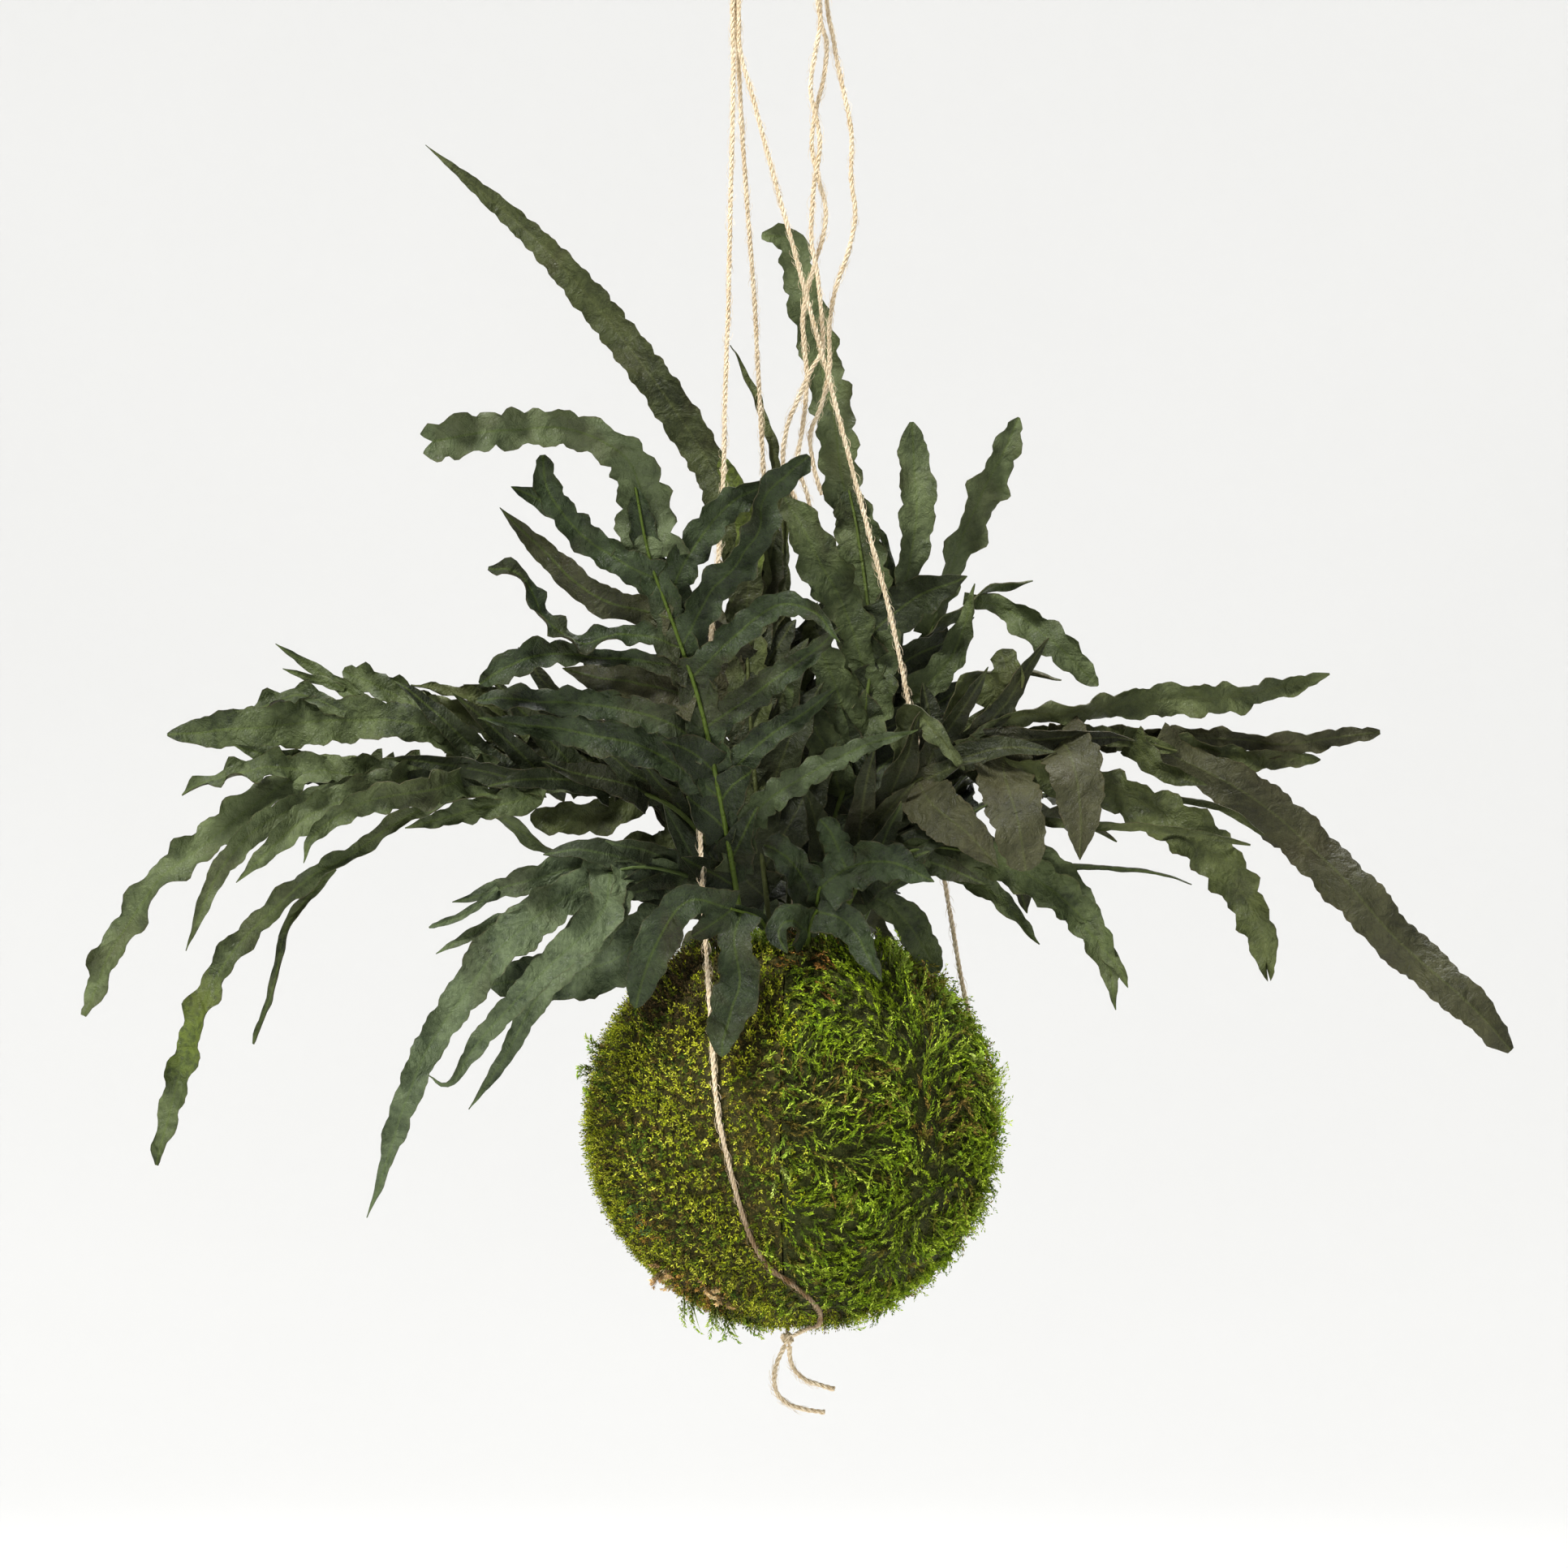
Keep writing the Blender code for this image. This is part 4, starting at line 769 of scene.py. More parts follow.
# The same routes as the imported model's, with each blade's looks
FRONDS = (
    Frond("frond_front", TEAL_LEAF, (-16, -23), ((-17, -36, 70), (-23, -54, 107), (-31, -64, 147),
            (-40, -67, 175), (-49, -69, 200), (-54, -71, 225)), (0.2, 1.0, 10), (
        Lobe(0.86, ((-53, -71, 227), (-62, -74, 239), (-80, -79, 245), (-105, -85, 243), (-127, -90, 239)),
            20, WAVY, WAIST, pale=0.5, notch=4.0),
        Lobe(0.82, ((-60, -71, 200), (-74, -72, 210), (-84, -74, 223), (-86, -75, 236)), 11, SCALLOPED, STRAP,
            (0, 20)),
        Lobe(None, ((-79, -72, 215), (-88, -73, 221), (-97, -74, 225)), 7),
        Lobe(0.74, ((-65, -67, 187), (-86, -69, 203), (-101, -71, 218)), 11, CALM, face=UNDER),
        Lobe(0.68, ((-55, -69, 174), (-73, -71, 172), (-85, -73, 181), (-94, -74, 193), (-105, -75, 196)), 8,
            FRILLED, STRAP, (30, 50)),
        Lobe(0.64, ((-61, -67, 166), (-82, -70, 168), (-98, -72, 163), (-108, -73, 157)), 11, SCALLOPED, CLUB,
            (20, 0)),
        Lobe(0.58, ((-45, -60, 155), (-62, -57, 158), (-80, -56, 163)), 15, CALM, face=UNDER),
        Lobe(0.48, ((-50, -62, 146), (-80, -64, 151), (-109, -66, 150)), 11, SCALLOPED, STRAP, (0, 15)),
        Lobe(0.38, ((-45, -61, 132), (-66, -62, 139), (-109, -65, 145)), 14),
        Lobe(0.76, ((-37, -71, 199), (-22, -72, 219), (-8, -74, 226)), 12, SCALLOPED, STRAP),
        Lobe(0.68, ((-28, -73, 188), (-14, -77, 206), (-8, -80, 221), (6, -84, 235)), 13, WAVY, STRAP,
            (0, 20)),
        Lobe(0.62, ((-20, -72, 173), (-5, -78, 184), (8, -84, 181), (17, -87, 171)), 11, SCALLOPED,
            turn=(0, 15)),
        Lobe(0.52, ((-15, -67, 152), (3, -74, 165), (18, -79, 177)), 11, SCALLOPED),
        Lobe(0.4, ((-10, -63, 137), (7, -68, 149), (16, -70, 156)), 10, CALM),
        Lobe(0.22, ((-13, -58, 112), (3, -64, 124), (24, -71, 135), (44, -76, 141)), 11, FRILLED,
            turn=(30, 0), pale=0.2),
    ), Filling(0.16, 0.46, 5, 30.0, 11.0, (25, 45))),
    Frond("frond_tall_left", OLIVE_LEAF, (-6, -2), ((-8, 0, 74), (-12, 4, 112), (-15, 8, 150), (-17, 11, 189),
            (-21, 12, 206)), (0.35, 1.0, 12), (
        Lobe(0.9, ((-25, 13, 224), (-31, 14, 240), (-50, 16, 269), (-80, 19, 307), (-98, 21, 325),
            (-115, 23, 340), (-133, 25, 355)), 13, ROUNDED, pale=-0.3),
        Lobe(0.25, ((-22, 6, 112), (-31, 8, 130)), 16),
        Lobe(0.3, ((0, 8, 116), (6, 9, 130)), 16),
        Lobe(0.73, ((-9, 14, 183), (-6, 15, 196), (-9, 16, 218)), 10, WAVY, STRAP),
        Lobe(0.55, ((-23, 12, 164), (-28, 13, 180), (-31, 14, 189)), 12, CALM, STRAP, face=UNDER),
        Lobe(0.82, ((-15, 6, 208), (-18, 5, 224), (-25, 4, 240)), 10, CALM, STRAP, glow=(0.3, 1.0)),
    ), Filling(0.1, 0.8, 10, 50.0, 15.0)),
    Frond("frond_upright_right", GREEN_LEAF, (6, 4), ((7, 6, 74), (13, 9, 102), (22, 12, 130), (28, 15, 158),
            (28, 17, 184), (24, 19, 214), (21, 20, 229)), (0.4, 1.0, 16), (
        Lobe(0.86, ((19, 20, 230), (15, 22, 257), (10, 24, 281), (4, 26, 304), (0, 26, 320), (-10, 22, 322)),
            15, WAVY, STRAP, pale=0.4),
        Lobe(0.57, ((21, 10, 182), (10, 6, 203), (-2, 4, 226)), 18, WAVY, BELLY),
        Lobe(0.44, ((17, 7, 155), (9, 5, 175)), 15, WAVY, STRAP),
        Lobe(0.34, ((10, 5, 140), (-4, 3, 161)), 14, CALM),
        Lobe(0.66, ((34, 20, 192), (35, 20, 207), (30, 20, 218)), 9, turn=(20, 40)),
        Lobe(0.51, ((35, 20, 166), (40, 21, 187), (45, 21, 218), (45, 21, 239), (44, 21, 254)), 13, CALM,
            CLUB, (50, 0), pale=0.3),
    ), Filling(0.1, 0.72, 10, 48.0, 15.0)),
    Frond("frond_right_forked", GREEN_LEAF, (18, 10), ((18, 13, 77), (24, 19, 102), (33, 26, 129),
            (43, 30, 157), (52, 33, 180)), (0.4, 1.0, 8), (
        Lobe(0.97, ((57, 32, 200), (66, 30, 219), (75, 28, 238), (83, 28, 256)), 15, WAVY, BELLY, (30, 0),
            pale=0.3),
        Lobe(0.95, ((65, 26, 191), (88, 22, 195)), 7, turn=(40, 50)),
        Lobe(None, ((63, 27, 190), (80, 23, 185), (96, 19, 173), (111, 15, 158)), 13, WAVY, BELLY, (20, 0),
            pale=0.25),
        Lobe(0.66, ((47, 22, 155), (59, 20, 170), (67, 18, 195)), 12),
        Lobe(0.6, ((33, 25, 155), (36, 28, 168), (39, 28, 180)), 10, turn=(20, 0)),
    ), Filling(0.15, 0.85, 8, 40.0, 11.0, (20, 40))),
    Frond("frond_right_twisted", OLIVE_LEAF, (24, -4), ((25, -8, 78), (35, -14, 102), (50, -20, 128),
            (62, -20, 141), (72, -20, 150)), (0.5, 1.0, 5), (
        Lobe(0.98, ((75, -20, 158), (77, -21, 163), (74, -22, 170)), 13, CRUMPLED, STRAP),
        Lobe(0.96, ((80, -16, 136), (90, -14, 117)), 9, turn=(20, 0), face=UNDER),
        Lobe(0.7, ((62, -15, 158), (76, -14, 164), (96, -14, 158)), 7, turn=(50, 60)),
        Lobe(0.42, ((38, -26, 127), (41, -31, 147), (51, -36, 141), (61, -37, 127)), 11, FOLDED, BELLY,
            (50, 0), pale=0.3),
    ), Filling(0.15, 0.85, 8, 34.0, 10.0, (20, 45))),
    Frond("frond_long_right", OLIVE_LEAF, (14, -6), ((14, -12, 78), (23, -22, 98), (38, -28, 118),
            (62, -29, 133), (90, -27, 139), (115, -24, 139), (137, -21, 134)), (0.4, 1.0, 6), (
        Lobe(0.95, ((163, -21, 118), (189, -22, 96), (213, -26, 69), (238, -30, 46), (255, -30, 28)), 16,
            CUPPED, STRAP, face=UNDER),
        Lobe(0.55, ((79, -32, 145), (108, -22, 150), (144, -10, 153), (178, 0, 157), (194, 4, 162)), 12, WAVY,
            BELLY, (20, 0), pale=0.2),
        Lobe(0.72, ((107, -20, 140), (143, -14, 138), (185, -6, 138), (212, 0, 141)), 9, WAVY, STRAP, (20, 0),
            face=UNDER),
        Lobe(0.88, ((135, -16, 137), (161, -10, 132), (190, -6, 131)), 9, WAVY, BELLY, (30, 0)),
        Lobe(0.55, ((82, -34, 126), (117, -38, 118), (145, -41, 101), (163, -42, 75), (168, -40, 53)), 18,
            WAVY, BELLY, notch=5.0),
        Lobe(0.9, ((132, -28, 127), (147, -31, 122)), 8, turn=(20, 0)),
        Lobe(0.74, ((98, -38, 133), (101, -51, 114), (101, -54, 96)), 16, HANGING, face=UNDER),
        Lobe(0.64, ((75, -38, 127), (79, -51, 109), (82, -54, 92)), 16, HANGING, STRAP, face=UNDER),
        Lobe(0.44, ((49, -40, 116), (62, -51, 105), (72, -55, 93)), 15, HANGING, face=UNDER),
        Lobe(0.66, ((90, -31, 124), (107, -33, 119), (149, -34, 115), (167, -34, 104)), 3.5, THREAD, STRAP,
            (0, 40)),
        Lobe(0.55, ((73, -33, 115), (90, -42, 109), (127, -46, 107), (161, -47, 101)), 3.5, THREAD, STRAP,
            (0, 40)),
    ), Filling(0.12, 0.62, 10, 48.0, 9.0, (12, 30))),
    Frond("frond_lower_right", GREEN_LEAF, (20, -16), ((19, -22, 76), (26, -32, 89), (37, -38, 97),
            (50, -40, 100), (60, -41, 99)), (0.5, 1.0, 6), (
        Lobe(0.98, ((82, -43, 91), (102, -45, 76), (112, -45, 57), (114, -45, 43)), 15),
        Lobe(None, ((103, -45, 72), (114, -47, 59), (118, -47, 51)), 6),
        Lobe(0.96, ((76, -38, 98), (92, -39, 91), (107, -41, 74)), 14, CALM, STRAP, (10, 0), pale=0.3),
        Lobe(0.85, ((64, -36, 88), (76, -36, 79), (88, -36, 66)), 9),
        Lobe(0.3, ((29, -26, 82), (37, -22, 77), (46, -17, 66), (53, -12, 54)), 13, CALM, BELLY),
        Lobe(0.25, ((32, -26, 85), (53, -24, 93), (93, -27, 93), (129, -27, 91), (142, -27, 87)), 5, THREAD,
            TAIL, (0, 40)),
    ), Filling(0.2, 0.8, 5, 34.0, 9.0, (15, 35))),
    Frond("frond_low_right", TEAL_LEAF, (12, -19), ((11, -32, 71), (9, -40, 80), (10, -46, 86)),
            (0.5, 1.0, 6), (
        Lobe(0.98, ((20, -48, 93), (35, -52, 95), (50, -54, 88)), 17),
        Lobe(None, ((19, -48, 93), (14, -48, 105), (10, -48, 110)), 10, CRUMPLED, STRAP),
        Lobe(0.75, ((3, -44, 91), (-5, -46, 98), (-10, -46, 100)), 13, CRUMPLED, STRAP, (0, 20)),
    )),
    Frond("frond_ball_right", TEAL_LEAF, (5, -27), ((6, -36, 67), (7, -41, 74), (9, -44, 78)),
            (0.5, 1.0, 5), (
        Lobe(0.98, ((19, -47, 74), (27, -52, 62), (32, -57, 53)), 11, CALM),
        Lobe(0.6, ((-1, -51, 74), (-4, -55, 70), (-1, -58, 63)), 13, CALM),
    )),
    Frond("frond_ball_front", TEAL_LEAF, (-6, -27), ((-7, -40, 67), (-11, -52, 75), (-21, -64, 79)),
            (0.5, 1.0, 4), (
        Lobe(0.88, ((-20, -66, 68), (-18, -69, 54), (-22, -72, 42), (-24, -76, 28)), 16, CALM, BELLY),
        Lobe(0.98, ((-28, -66, 74), (-35, -67, 70)), 8, WAVY, STRAP),
        Lobe(0.97, ((-35, -70, 82), (-45, -70, 71), (-52, -63, 53), (-54, -60, 45)), 15, CALM, BELLY),
    )),
    Frond("frond_left_low", PALE_LEAF, (-25, -12), ((-26, -20, 75), (-32, -30, 87), (-44, -40, 92),
            (-56, -44, 93), (-67, -47, 90)), (0.5, 1.0, 6), (
        Lobe(0.78, ((-67, -43, 95), (-90, -45, 89), (-119, -47, 81)), 12),
        Lobe(None, ((-103, -46, 86), (-114, -48, 77), (-127, -48, 72)), 3, THREAD, STRAP),
        Lobe(0.98, ((-89, -56, 76), (-110, -63, 54), (-126, -66, 31), (-134, -68, 11), (-147, -69, -28)), 17,
            CALM, TAIL),
        Lobe(0.95, ((-66, -64, 77), (-85, -71, 58), (-104, -73, 38), (-118, -73, 20), (-125, -73, 22)), 14,
            CALM, TAIL),
        Lobe(0.85, ((-64, -56, 74), (-87, -62, 50), (-101, -64, 25), (-112, -64, 9)), 10, CALM),
        Lobe(0.55, ((-50, -44, 72), (-62, -46, 60), (-80, -49, 56), (-106, -53, 52)), 21, FLAT, BELLY),
        Lobe(None, ((-92, -56, 78), (-110, -56, 71), (-124, -56, 63)), 5),
    ), Filling(0.2, 0.8, 6, 40.0, 9.0, (15, 32))),
    Frond("frond_far_left", GREEN_LEAF, (-18, -4), ((-18, -8, 75), (-29, -18, 100), (-47, -28, 117),
            (-75, -34, 122), (-107, -37, 125), (-147, -41, 127)), (0.45, 1.0, 6), (
        Lobe(0.98, ((-171, -45, 125), (-199, -49, 107), (-226, -51, 82), (-239, -50, 63), (-247, -48, 41)),
            16, SLIM, STRAP, (0, 15), pale=0.3),
        Lobe(0.77, ((-125, -35, 141), (-156, -36, 145), (-190, -38, 142), (-220, -39, 140)), 17, CALM, BELLY),
        Lobe(0.9, ((-150, -45, 125), (-169, -46, 128), (-196, -46, 136)), 13),
        Lobe(None, ((-166, -46, 127), (-189, -54, 128), (-212, -56, 117)), 11, FRILLED, turn=(20, 40)),
        Lobe(0.95, ((-158, -52, 119), (-185, -57, 108), (-200, -58, 91), (-211, -58, 64)), 10, CALM,
            pale=0.3),
        Lobe(0.9, ((-143, -57, 121), (-165, -62, 113), (-180, -64, 101), (-193, -64, 88)), 13, SCALLOPED,
            pale=0.2),
        Lobe(0.77, ((-125, -58, 121), (-148, -67, 116), (-165, -70, 105), (-169, -70, 95)), 12, SCALLOPED),
        Lobe(0.66, ((-104, -44, 120), (-137, -49, 110), (-159, -51, 94), (-191, -54, 69), (-207, -55, 39),
            (-216, -53, 14), (-221, -52, -11)), 13, SLIM, CLUB, (20, 0), glow=(0.64, 0.8)),
        Lobe(None, ((-160, -51, 93), (-175, -50, 74), (-181, -49, 54), (-188, -48, 31)), 4, THREAD, STRAP,
            (0, 40)),
        Lobe(0.68, ((-94, -40, 117), (-117, -42, 112), (-136, -42, 107)), 10, SCALLOPED),
        Lobe(None, ((-107, -41, 115), (-90, -37, 103), (-68, -37, 95)), 6, WAVY, STRAP, (20, 50)),
        Lobe(None, ((-142, -35, 145), (-163, -27, 159), (-183, -21, 172)), 6),
        Lobe(None, ((-158, -29, 156), (-180, -26, 163)), 3.5),
        Lobe(None, ((-121, -35, 139), (-138, -28, 153), (-159, -25, 162)), 12, FRILLED, STRAP, (0, 40)),
        Lobe(None, ((-157, -36, 148), (-179, -33, 154), (-201, -33, 145)), 8, FRILLED, STRAP, (30, 50)),
    ), Filling(0.15, 0.75, 14, 58.0, 8.5, (12, 30))),
    Frond("frond_left_upper", OLIVE_LEAF, (-24, 6), ((-25, 8, 77), (-33, 3, 103), (-51, -5, 126),
            (-80, -14, 139), (-108, -20, 144)), (0.45, 1.0, 6), (
        Lobe(0.97, ((-128, -22, 151), (-143, -22, 156)), 9, FRILLED),
        Lobe(0.88, ((-108, -22, 151), (-135, -24, 158)), 6, FRILLED, turn=(40, 50)),
        Lobe(0.66, ((-78, -10, 146), (-96, -13, 151), (-113, -15, 151)), 11, WAVY, STRAP),
        Lobe(0.66, ((-81, -15, 128), (-102, -19, 128), (-123, -23, 132)), 13, WAVY, STRAP),
        Lobe(0.55, ((-60, -8, 115), (-76, -10, 110), (-93, -13, 110)), 13, WAVY, STRAP),
        Lobe(0.38, ((-43, -1, 100), (-55, -5, 99), (-63, -6, 97)), 12, WAVY, STRAP),
    ), Filling(0.12, 0.85, 12, 52.0, 9.5, (12, 34))),
    Frond("frond_back_spike", OLIVE_LEAF, (-2, 14), ((-1, 20, 74), (-1, 26, 112), (-2, 30, 157),
            (-3, 32, 207), (-3, 32, 228)), (0.5, 1.0, 4), (
        Lobe(0.97, ((-7, 32, 244), (-11, 32, 259), (-17, 32, 274), (-22, 32, 283)), 4, turn=(0, 40)),
        Lobe(0.55, ((6, 33, 172), (10, 35, 189)), 10),
        Lobe(0.5, ((-12, 33, 156), (-17, 35, 173)), 11),
        Lobe(0.35, ((11, 32, 116), (18, 33, 134)), 15),
        Lobe(0.3, ((-14, 30, 112), (-27, 31, 128)), 15),
    ), Filling(0.1, 0.7, 9, 50.0, 14.0)),
    # painted shade: this rear frond takes the dark teal finish for the shade it hangs in behind the front
    # fronds
    Frond("frond_back_left", TEAL_LEAF, (-14, 20), ((-16, 24, 66), (-26, 42, 97), (-42, 64, 125),
            (-62, 88, 140), (-85, 112, 142)), (0.4, 1.0, 7), (
        Lobe(0.97, ((-102, 130, 136), (-118, 146, 128), (-130, 157, 118)), 14),
        Lobe(0.62, ((-70, 72, 132), (-86, 74, 129), (-100, 76, 120)), 14),
        Lobe(0.62, ((-40, 92, 140), (-36, 108, 143), (-35, 124, 140)), 14),
        Lobe(0.82, ((-94, 96, 138), (-110, 99, 131), (-122, 103, 123)), 13),
        Lobe(0.82, ((-68, 118, 144), (-65, 134, 143), (-63, 148, 137)), 13),
    ), Filling(0.2, 0.9, 7, 42.0, 11.0), UP_AND_BACK),
    Frond("frond_back_middle", GREEN_LEAF, (4, 26), ((5, 34, 66), (7, 52, 100), (9, 76, 134), (9, 105, 156),
            (7, 135, 163)), (0.4, 1.0, 7), (
        Lobe(0.97, ((4, 155, 158), (2, 174, 148), (0, 188, 135)), 15),
        Lobe(0.55, ((-10, 88, 137), (-22, 104, 132), (-30, 119, 122)), 14),
        Lobe(0.55, ((27, 88, 140), (44, 97, 138), (58, 105, 129)), 14),
        Lobe(0.78, ((-12, 118, 156), (-28, 130, 150), (-40, 140, 140)), 14),
        Lobe(0.78, ((27, 118, 156), (43, 128, 150), (55, 137, 141)), 14),
    ), Filling(0.15, 0.9, 8, 44.0, 12.0), UP_AND_BACK),
    # painted shade: this rear frond takes the dark teal finish for the shade it hangs in behind the front
    # fronds
    Frond("frond_back_right", TEAL_LEAF, (20, 20), ((23, 27, 64), (35, 47, 88), (54, 70, 106), (78, 92, 116),
            (100, 110, 118)), (0.4, 1.0, 6), (
        Lobe(0.97, ((112, 122, 117), (124, 132, 114), (134, 140, 109)), 14),
        Lobe(0.55, ((62, 86, 117), (71, 98, 123), (79, 108, 127)), 13),
        Lobe(0.62, ((74, 84, 98), (83, 87, 86), (88, 89, 73)), 14),
        Lobe(0.84, ((100, 97, 109), (112, 97, 105), (122, 95, 99)), 13),
    ), Filling(0.2, 0.9, 7, 40.0, 11.0), UP_AND_BACK),
    Frond("frond_back_low", GREEN_LEAF, (-10, 26), ((-10, 37, 66), (-9, 51, 78), (-6, 64, 82)),
            (0.5, 1.0, 6), (
        Lobe(0.97, ((0, 78, 72), (5, 88, 55), (7, 92, 36)), 15),
        Lobe(0.8, ((-22, 72, 74), (-35, 79, 61), (-44, 82, 44)), 14),
        Lobe(0.9, ((14, 68, 78), (31, 73, 67), (44, 75, 52)), 13),
    ), facing=UP_AND_BACK),
)


@dataclass(frozen=True)
class Crease:
    """One kind of fold or dent in a blade, with the ranges that it is drawn from."""

    length: Pair  # millimetres from one to the next
    turn: Pair  # radians from the blade's own direction
    depth: float


@dataclass
class BladeMaker:
    """Turns the rows of the table into waved, folded blades of two skins, for one frond."""

    target: MeshData
    facing: Array
    chance: Chance
    columns: tuple[float, ...] = (-1, -0.8, -0.55, -0.28, -0.08, 0, 0.08, 0.28, 0.55, 0.8, 1)
    row_step: float = 1.7
    least_half_width: float = 0.15
    thickness: float = 0.45
    edge_thinning: float = 0.15
    rib_height: float = 0.45  # how far the midrib stands out of the underside
    rib_width: float = 0.1  # as a share of the half width
    edge_rules: Point = (3.0, 2.2, 1.2)  # how notches, ruffles and folds keep to the margins
    softening: tuple[float, ...] = (1, 2, 3, 2, 1)  # the weights of neighbouring directions
    roll_share: Pair = (0.6, 1.0)
    roll_length: Pair = (9.0, 15.0)
    drift: Pair = (0.5, 1.1)  # radians by which the margin's waves stray
    drift_lengths: Pair = (2.3, 0.9)  # waves to a radian, slow and quick
    quick_drift: float = 0.7
    nick_wave: float = 5.2
    nick_depth: float = 0.1
    flare: float = 4.0  # how much a blade widens where it leaves its stem
    flare_length: float = 8.0
    dents: int = 6
    veined_dents: int = 3  # each third dent is a fold along the side veins
    fold: Crease = Crease((7.0, 13.0), (0.5, 1.0), 0.13)
    dent: Crease = Crease((14.0, 40.0), (0.0, math.pi), 0.8)
    skew: float = 0.6  # radians by which a dent's two sides differ
    calm_start: float = 7.0  # the first millimetres of a blade, which don't wave
    calm_end: float = 4.0
    fold_start: float = 15.0
    sway_length: float = 9.0  # millimetres to a radian
    layers: int = 5
    layer_step: float = 0.15  # neighbouring blades lie this far above each other
    notch_rule: float = 1.5  # how a notch in the tip keeps to the midrib
    notch_length: float = 2.2
    blunt: float = 0.3  # how much of the midrib reaches the tip
    glow_blur: float = 0.08
    lobe_rib: float = 0.42

    def __post_init__(self) -> None:
        """Get ready to add the first blade."""
        self.edges = np.array(self.columns)[None, :]
        self.layer = 0

    def frames(self, route: Array, turn: Pair, roll: float) -> tuple[Array, Array, Array]:
        """Find how a blade lies along its route.

        Args:
            route: the line through its middle.
            turn: how far it leans at its base and its tip, in degrees.
            roll: how far it turns to and fro, in degrees.

        Returns:
            At each point, the directions ahead, to its side and out of its face.
        """
        ahead = unit(np.gradient(route, axis=0))
        side = unit(np.cross(ahead, self.facing))
        padded = np.vstack([side[:1], side[:1], side, side[-1:], side[-1:]])
        side = np.stack([np.convolve(row, self.softening, "valid") for row in padded.T], axis=1)
        side = unit(side - ahead * np.sum(side * ahead, axis=1, keepdims=True))
        along = running_length(route)
        rolling = self.chance.uniform(*self.roll_share) * np.sin(
            along / self.chance.uniform(*self.roll_length) + self.chance.uniform(0, 6))
        lean = np.linspace(turn[0], turn[1], len(route)) + roll * (rolling + self.chance.uniform(-1, 1))
        side = between(side, np.cross(ahead, side), np.radians(lean))
        return ahead, side, np.cross(side, ahead)

    def half_widths(self, lobe: Lobe, along: Array, flared: bool) -> Array:
        """Find half of a blade's width.

        Args:
            lobe: the blade's width, outline and habit.
            along: the distances at which it is wanted.
            flared: whether the blade widens at its stem.

        Returns:
            The half widths, one row each.
        """
        places, shares = zip(*lobe.outline.value)
        half = lobe.habit.breadth * lobe.width / 2 * np.interp(along / along[-1], places, shares)
        if flared:
            half = half + self.flare * np.exp(-(along / self.flare_length) ** 2)
        return np.maximum(half, self.least_half_width)[:, None]

    def margin_phase(self, along: Array, wave: float) -> Array:
        """Draw the margin's waves, which aren't quite even.

        Args:
            along: the distances along the blade.
            wave: the length of a wave.

        Returns:
            How far each column is in its wave at each distance.
        """
        start = self.chance.uniform(0, math.pi, 2)
        drift = self.chance.uniform(*self.drift, 2)
        slow, quick = self.drift_lengths
        waves = along[:, None] / wave
        wander = drift * (np.sin(waves / slow + start * 2)
                          + self.quick_drift * np.sin(waves / quick + start * 5))
        each = math.pi * waves + start + wander
        return np.where(self.edges < 0, each[:, :1], each[:, 1:])

    def crumple(self, along: Array, across: Array) -> Array:
        """Draw shallow folds that follow the side veins, and wide soft dents, as in a living leaf.

        Args:
            along: the distances along the blade.
            across: the distances from its midrib.

        Returns:
            How far each point rises.
        """
        rise = np.zeros_like(across)
        for number in range(self.dents):
            veined = number % self.veined_dents == 0
            crease = self.fold if veined else self.dent
            wave = 2 * math.pi / self.chance.uniform(*crease.length)
            turn = self.chance.uniform(*crease.turn)
            start = self.chance.uniform(0, 2 * math.pi)
            aside = -np.abs(across) if veined else across
            phase = wave * (along[:, None] * math.cos(turn) + aside * math.sin(turn)) + start
            rise = rise + crease.depth * np.sin(phase + self.skew * np.sin(phase))
        return rise

    def add(self, lobe: Lobe, route: Array, flared: bool) -> None:
        """Add one closed blade.

        Args:
            lobe: its width, outline and looks.
            route: the line through its middle.
            flared: whether it starts on the stem, where it widens.
        """
        habit = lobe.habit
        ahead, side, out = self.frames(route, lobe.turn, habit.roll)
        along = running_length(route)
        left = along[-1] - along
        half = self.half_widths(lobe, along, flared)
        edge = self.edges
        reach = np.abs(edge)
        notched, ruffled, folded = (reach ** rule for rule in self.edge_rules)
        live = (ease(along / self.calm_start) * ease(left / self.calm_end))[:, None]
        phase = self.margin_phase(along, habit.wave)
        nick = self.nick_depth * (1 - np.abs(np.sin(self.margin_phase(along, self.nick_wave))))
        notch = (habit.depth * (1 - np.abs(np.sin(phase))) + nick) * live
        across = edge * half * (1 - notch * notched)

        started = ease(along / self.fold_start)[:, None]
        sway = np.sin(along / self.sway_length + self.chance.uniform(0, 2 * math.pi))[:, None]
        rise = half * habit.ruffle * live * ruffled * np.sin(phase) + half * habit.fold * folded * started
        rise = rise + habit.swing * sway * started + habit.crease * live * self.crumple(along, across)
        rise = rise + self.layer_step * (self.layer % self.layers - self.layers // 2)
        self.layer += 1
        pulled = ease(1 - left / (self.notch_length * max(lobe.notch, 1.0)))[:, None]
        back = lobe.notch * (1 - reach) ** self.notch_rule * pulled

        middle = (route[:, None] + across[..., None] * side[:, None] + rise[..., None] * out[:, None]
                  - back[..., None] * ahead[:, None])
        half_thick = self.thickness / 2 * (1 - self.edge_thinning * reach)
        thin_tip = ease(left / self.calm_end + self.blunt)[:, None]
        ridge = self.rib_height * np.exp(-(edge / self.rib_width) ** 2) * thin_tip
        under = lobe.face.value
        front = middle + (half_thick + under * ridge)[..., None] * out[:, None]
        rear = middle - (half_thick + (1 - under) * ridge)[..., None] * out[:, None]
        self.gather(lobe, front, rear, along, across)

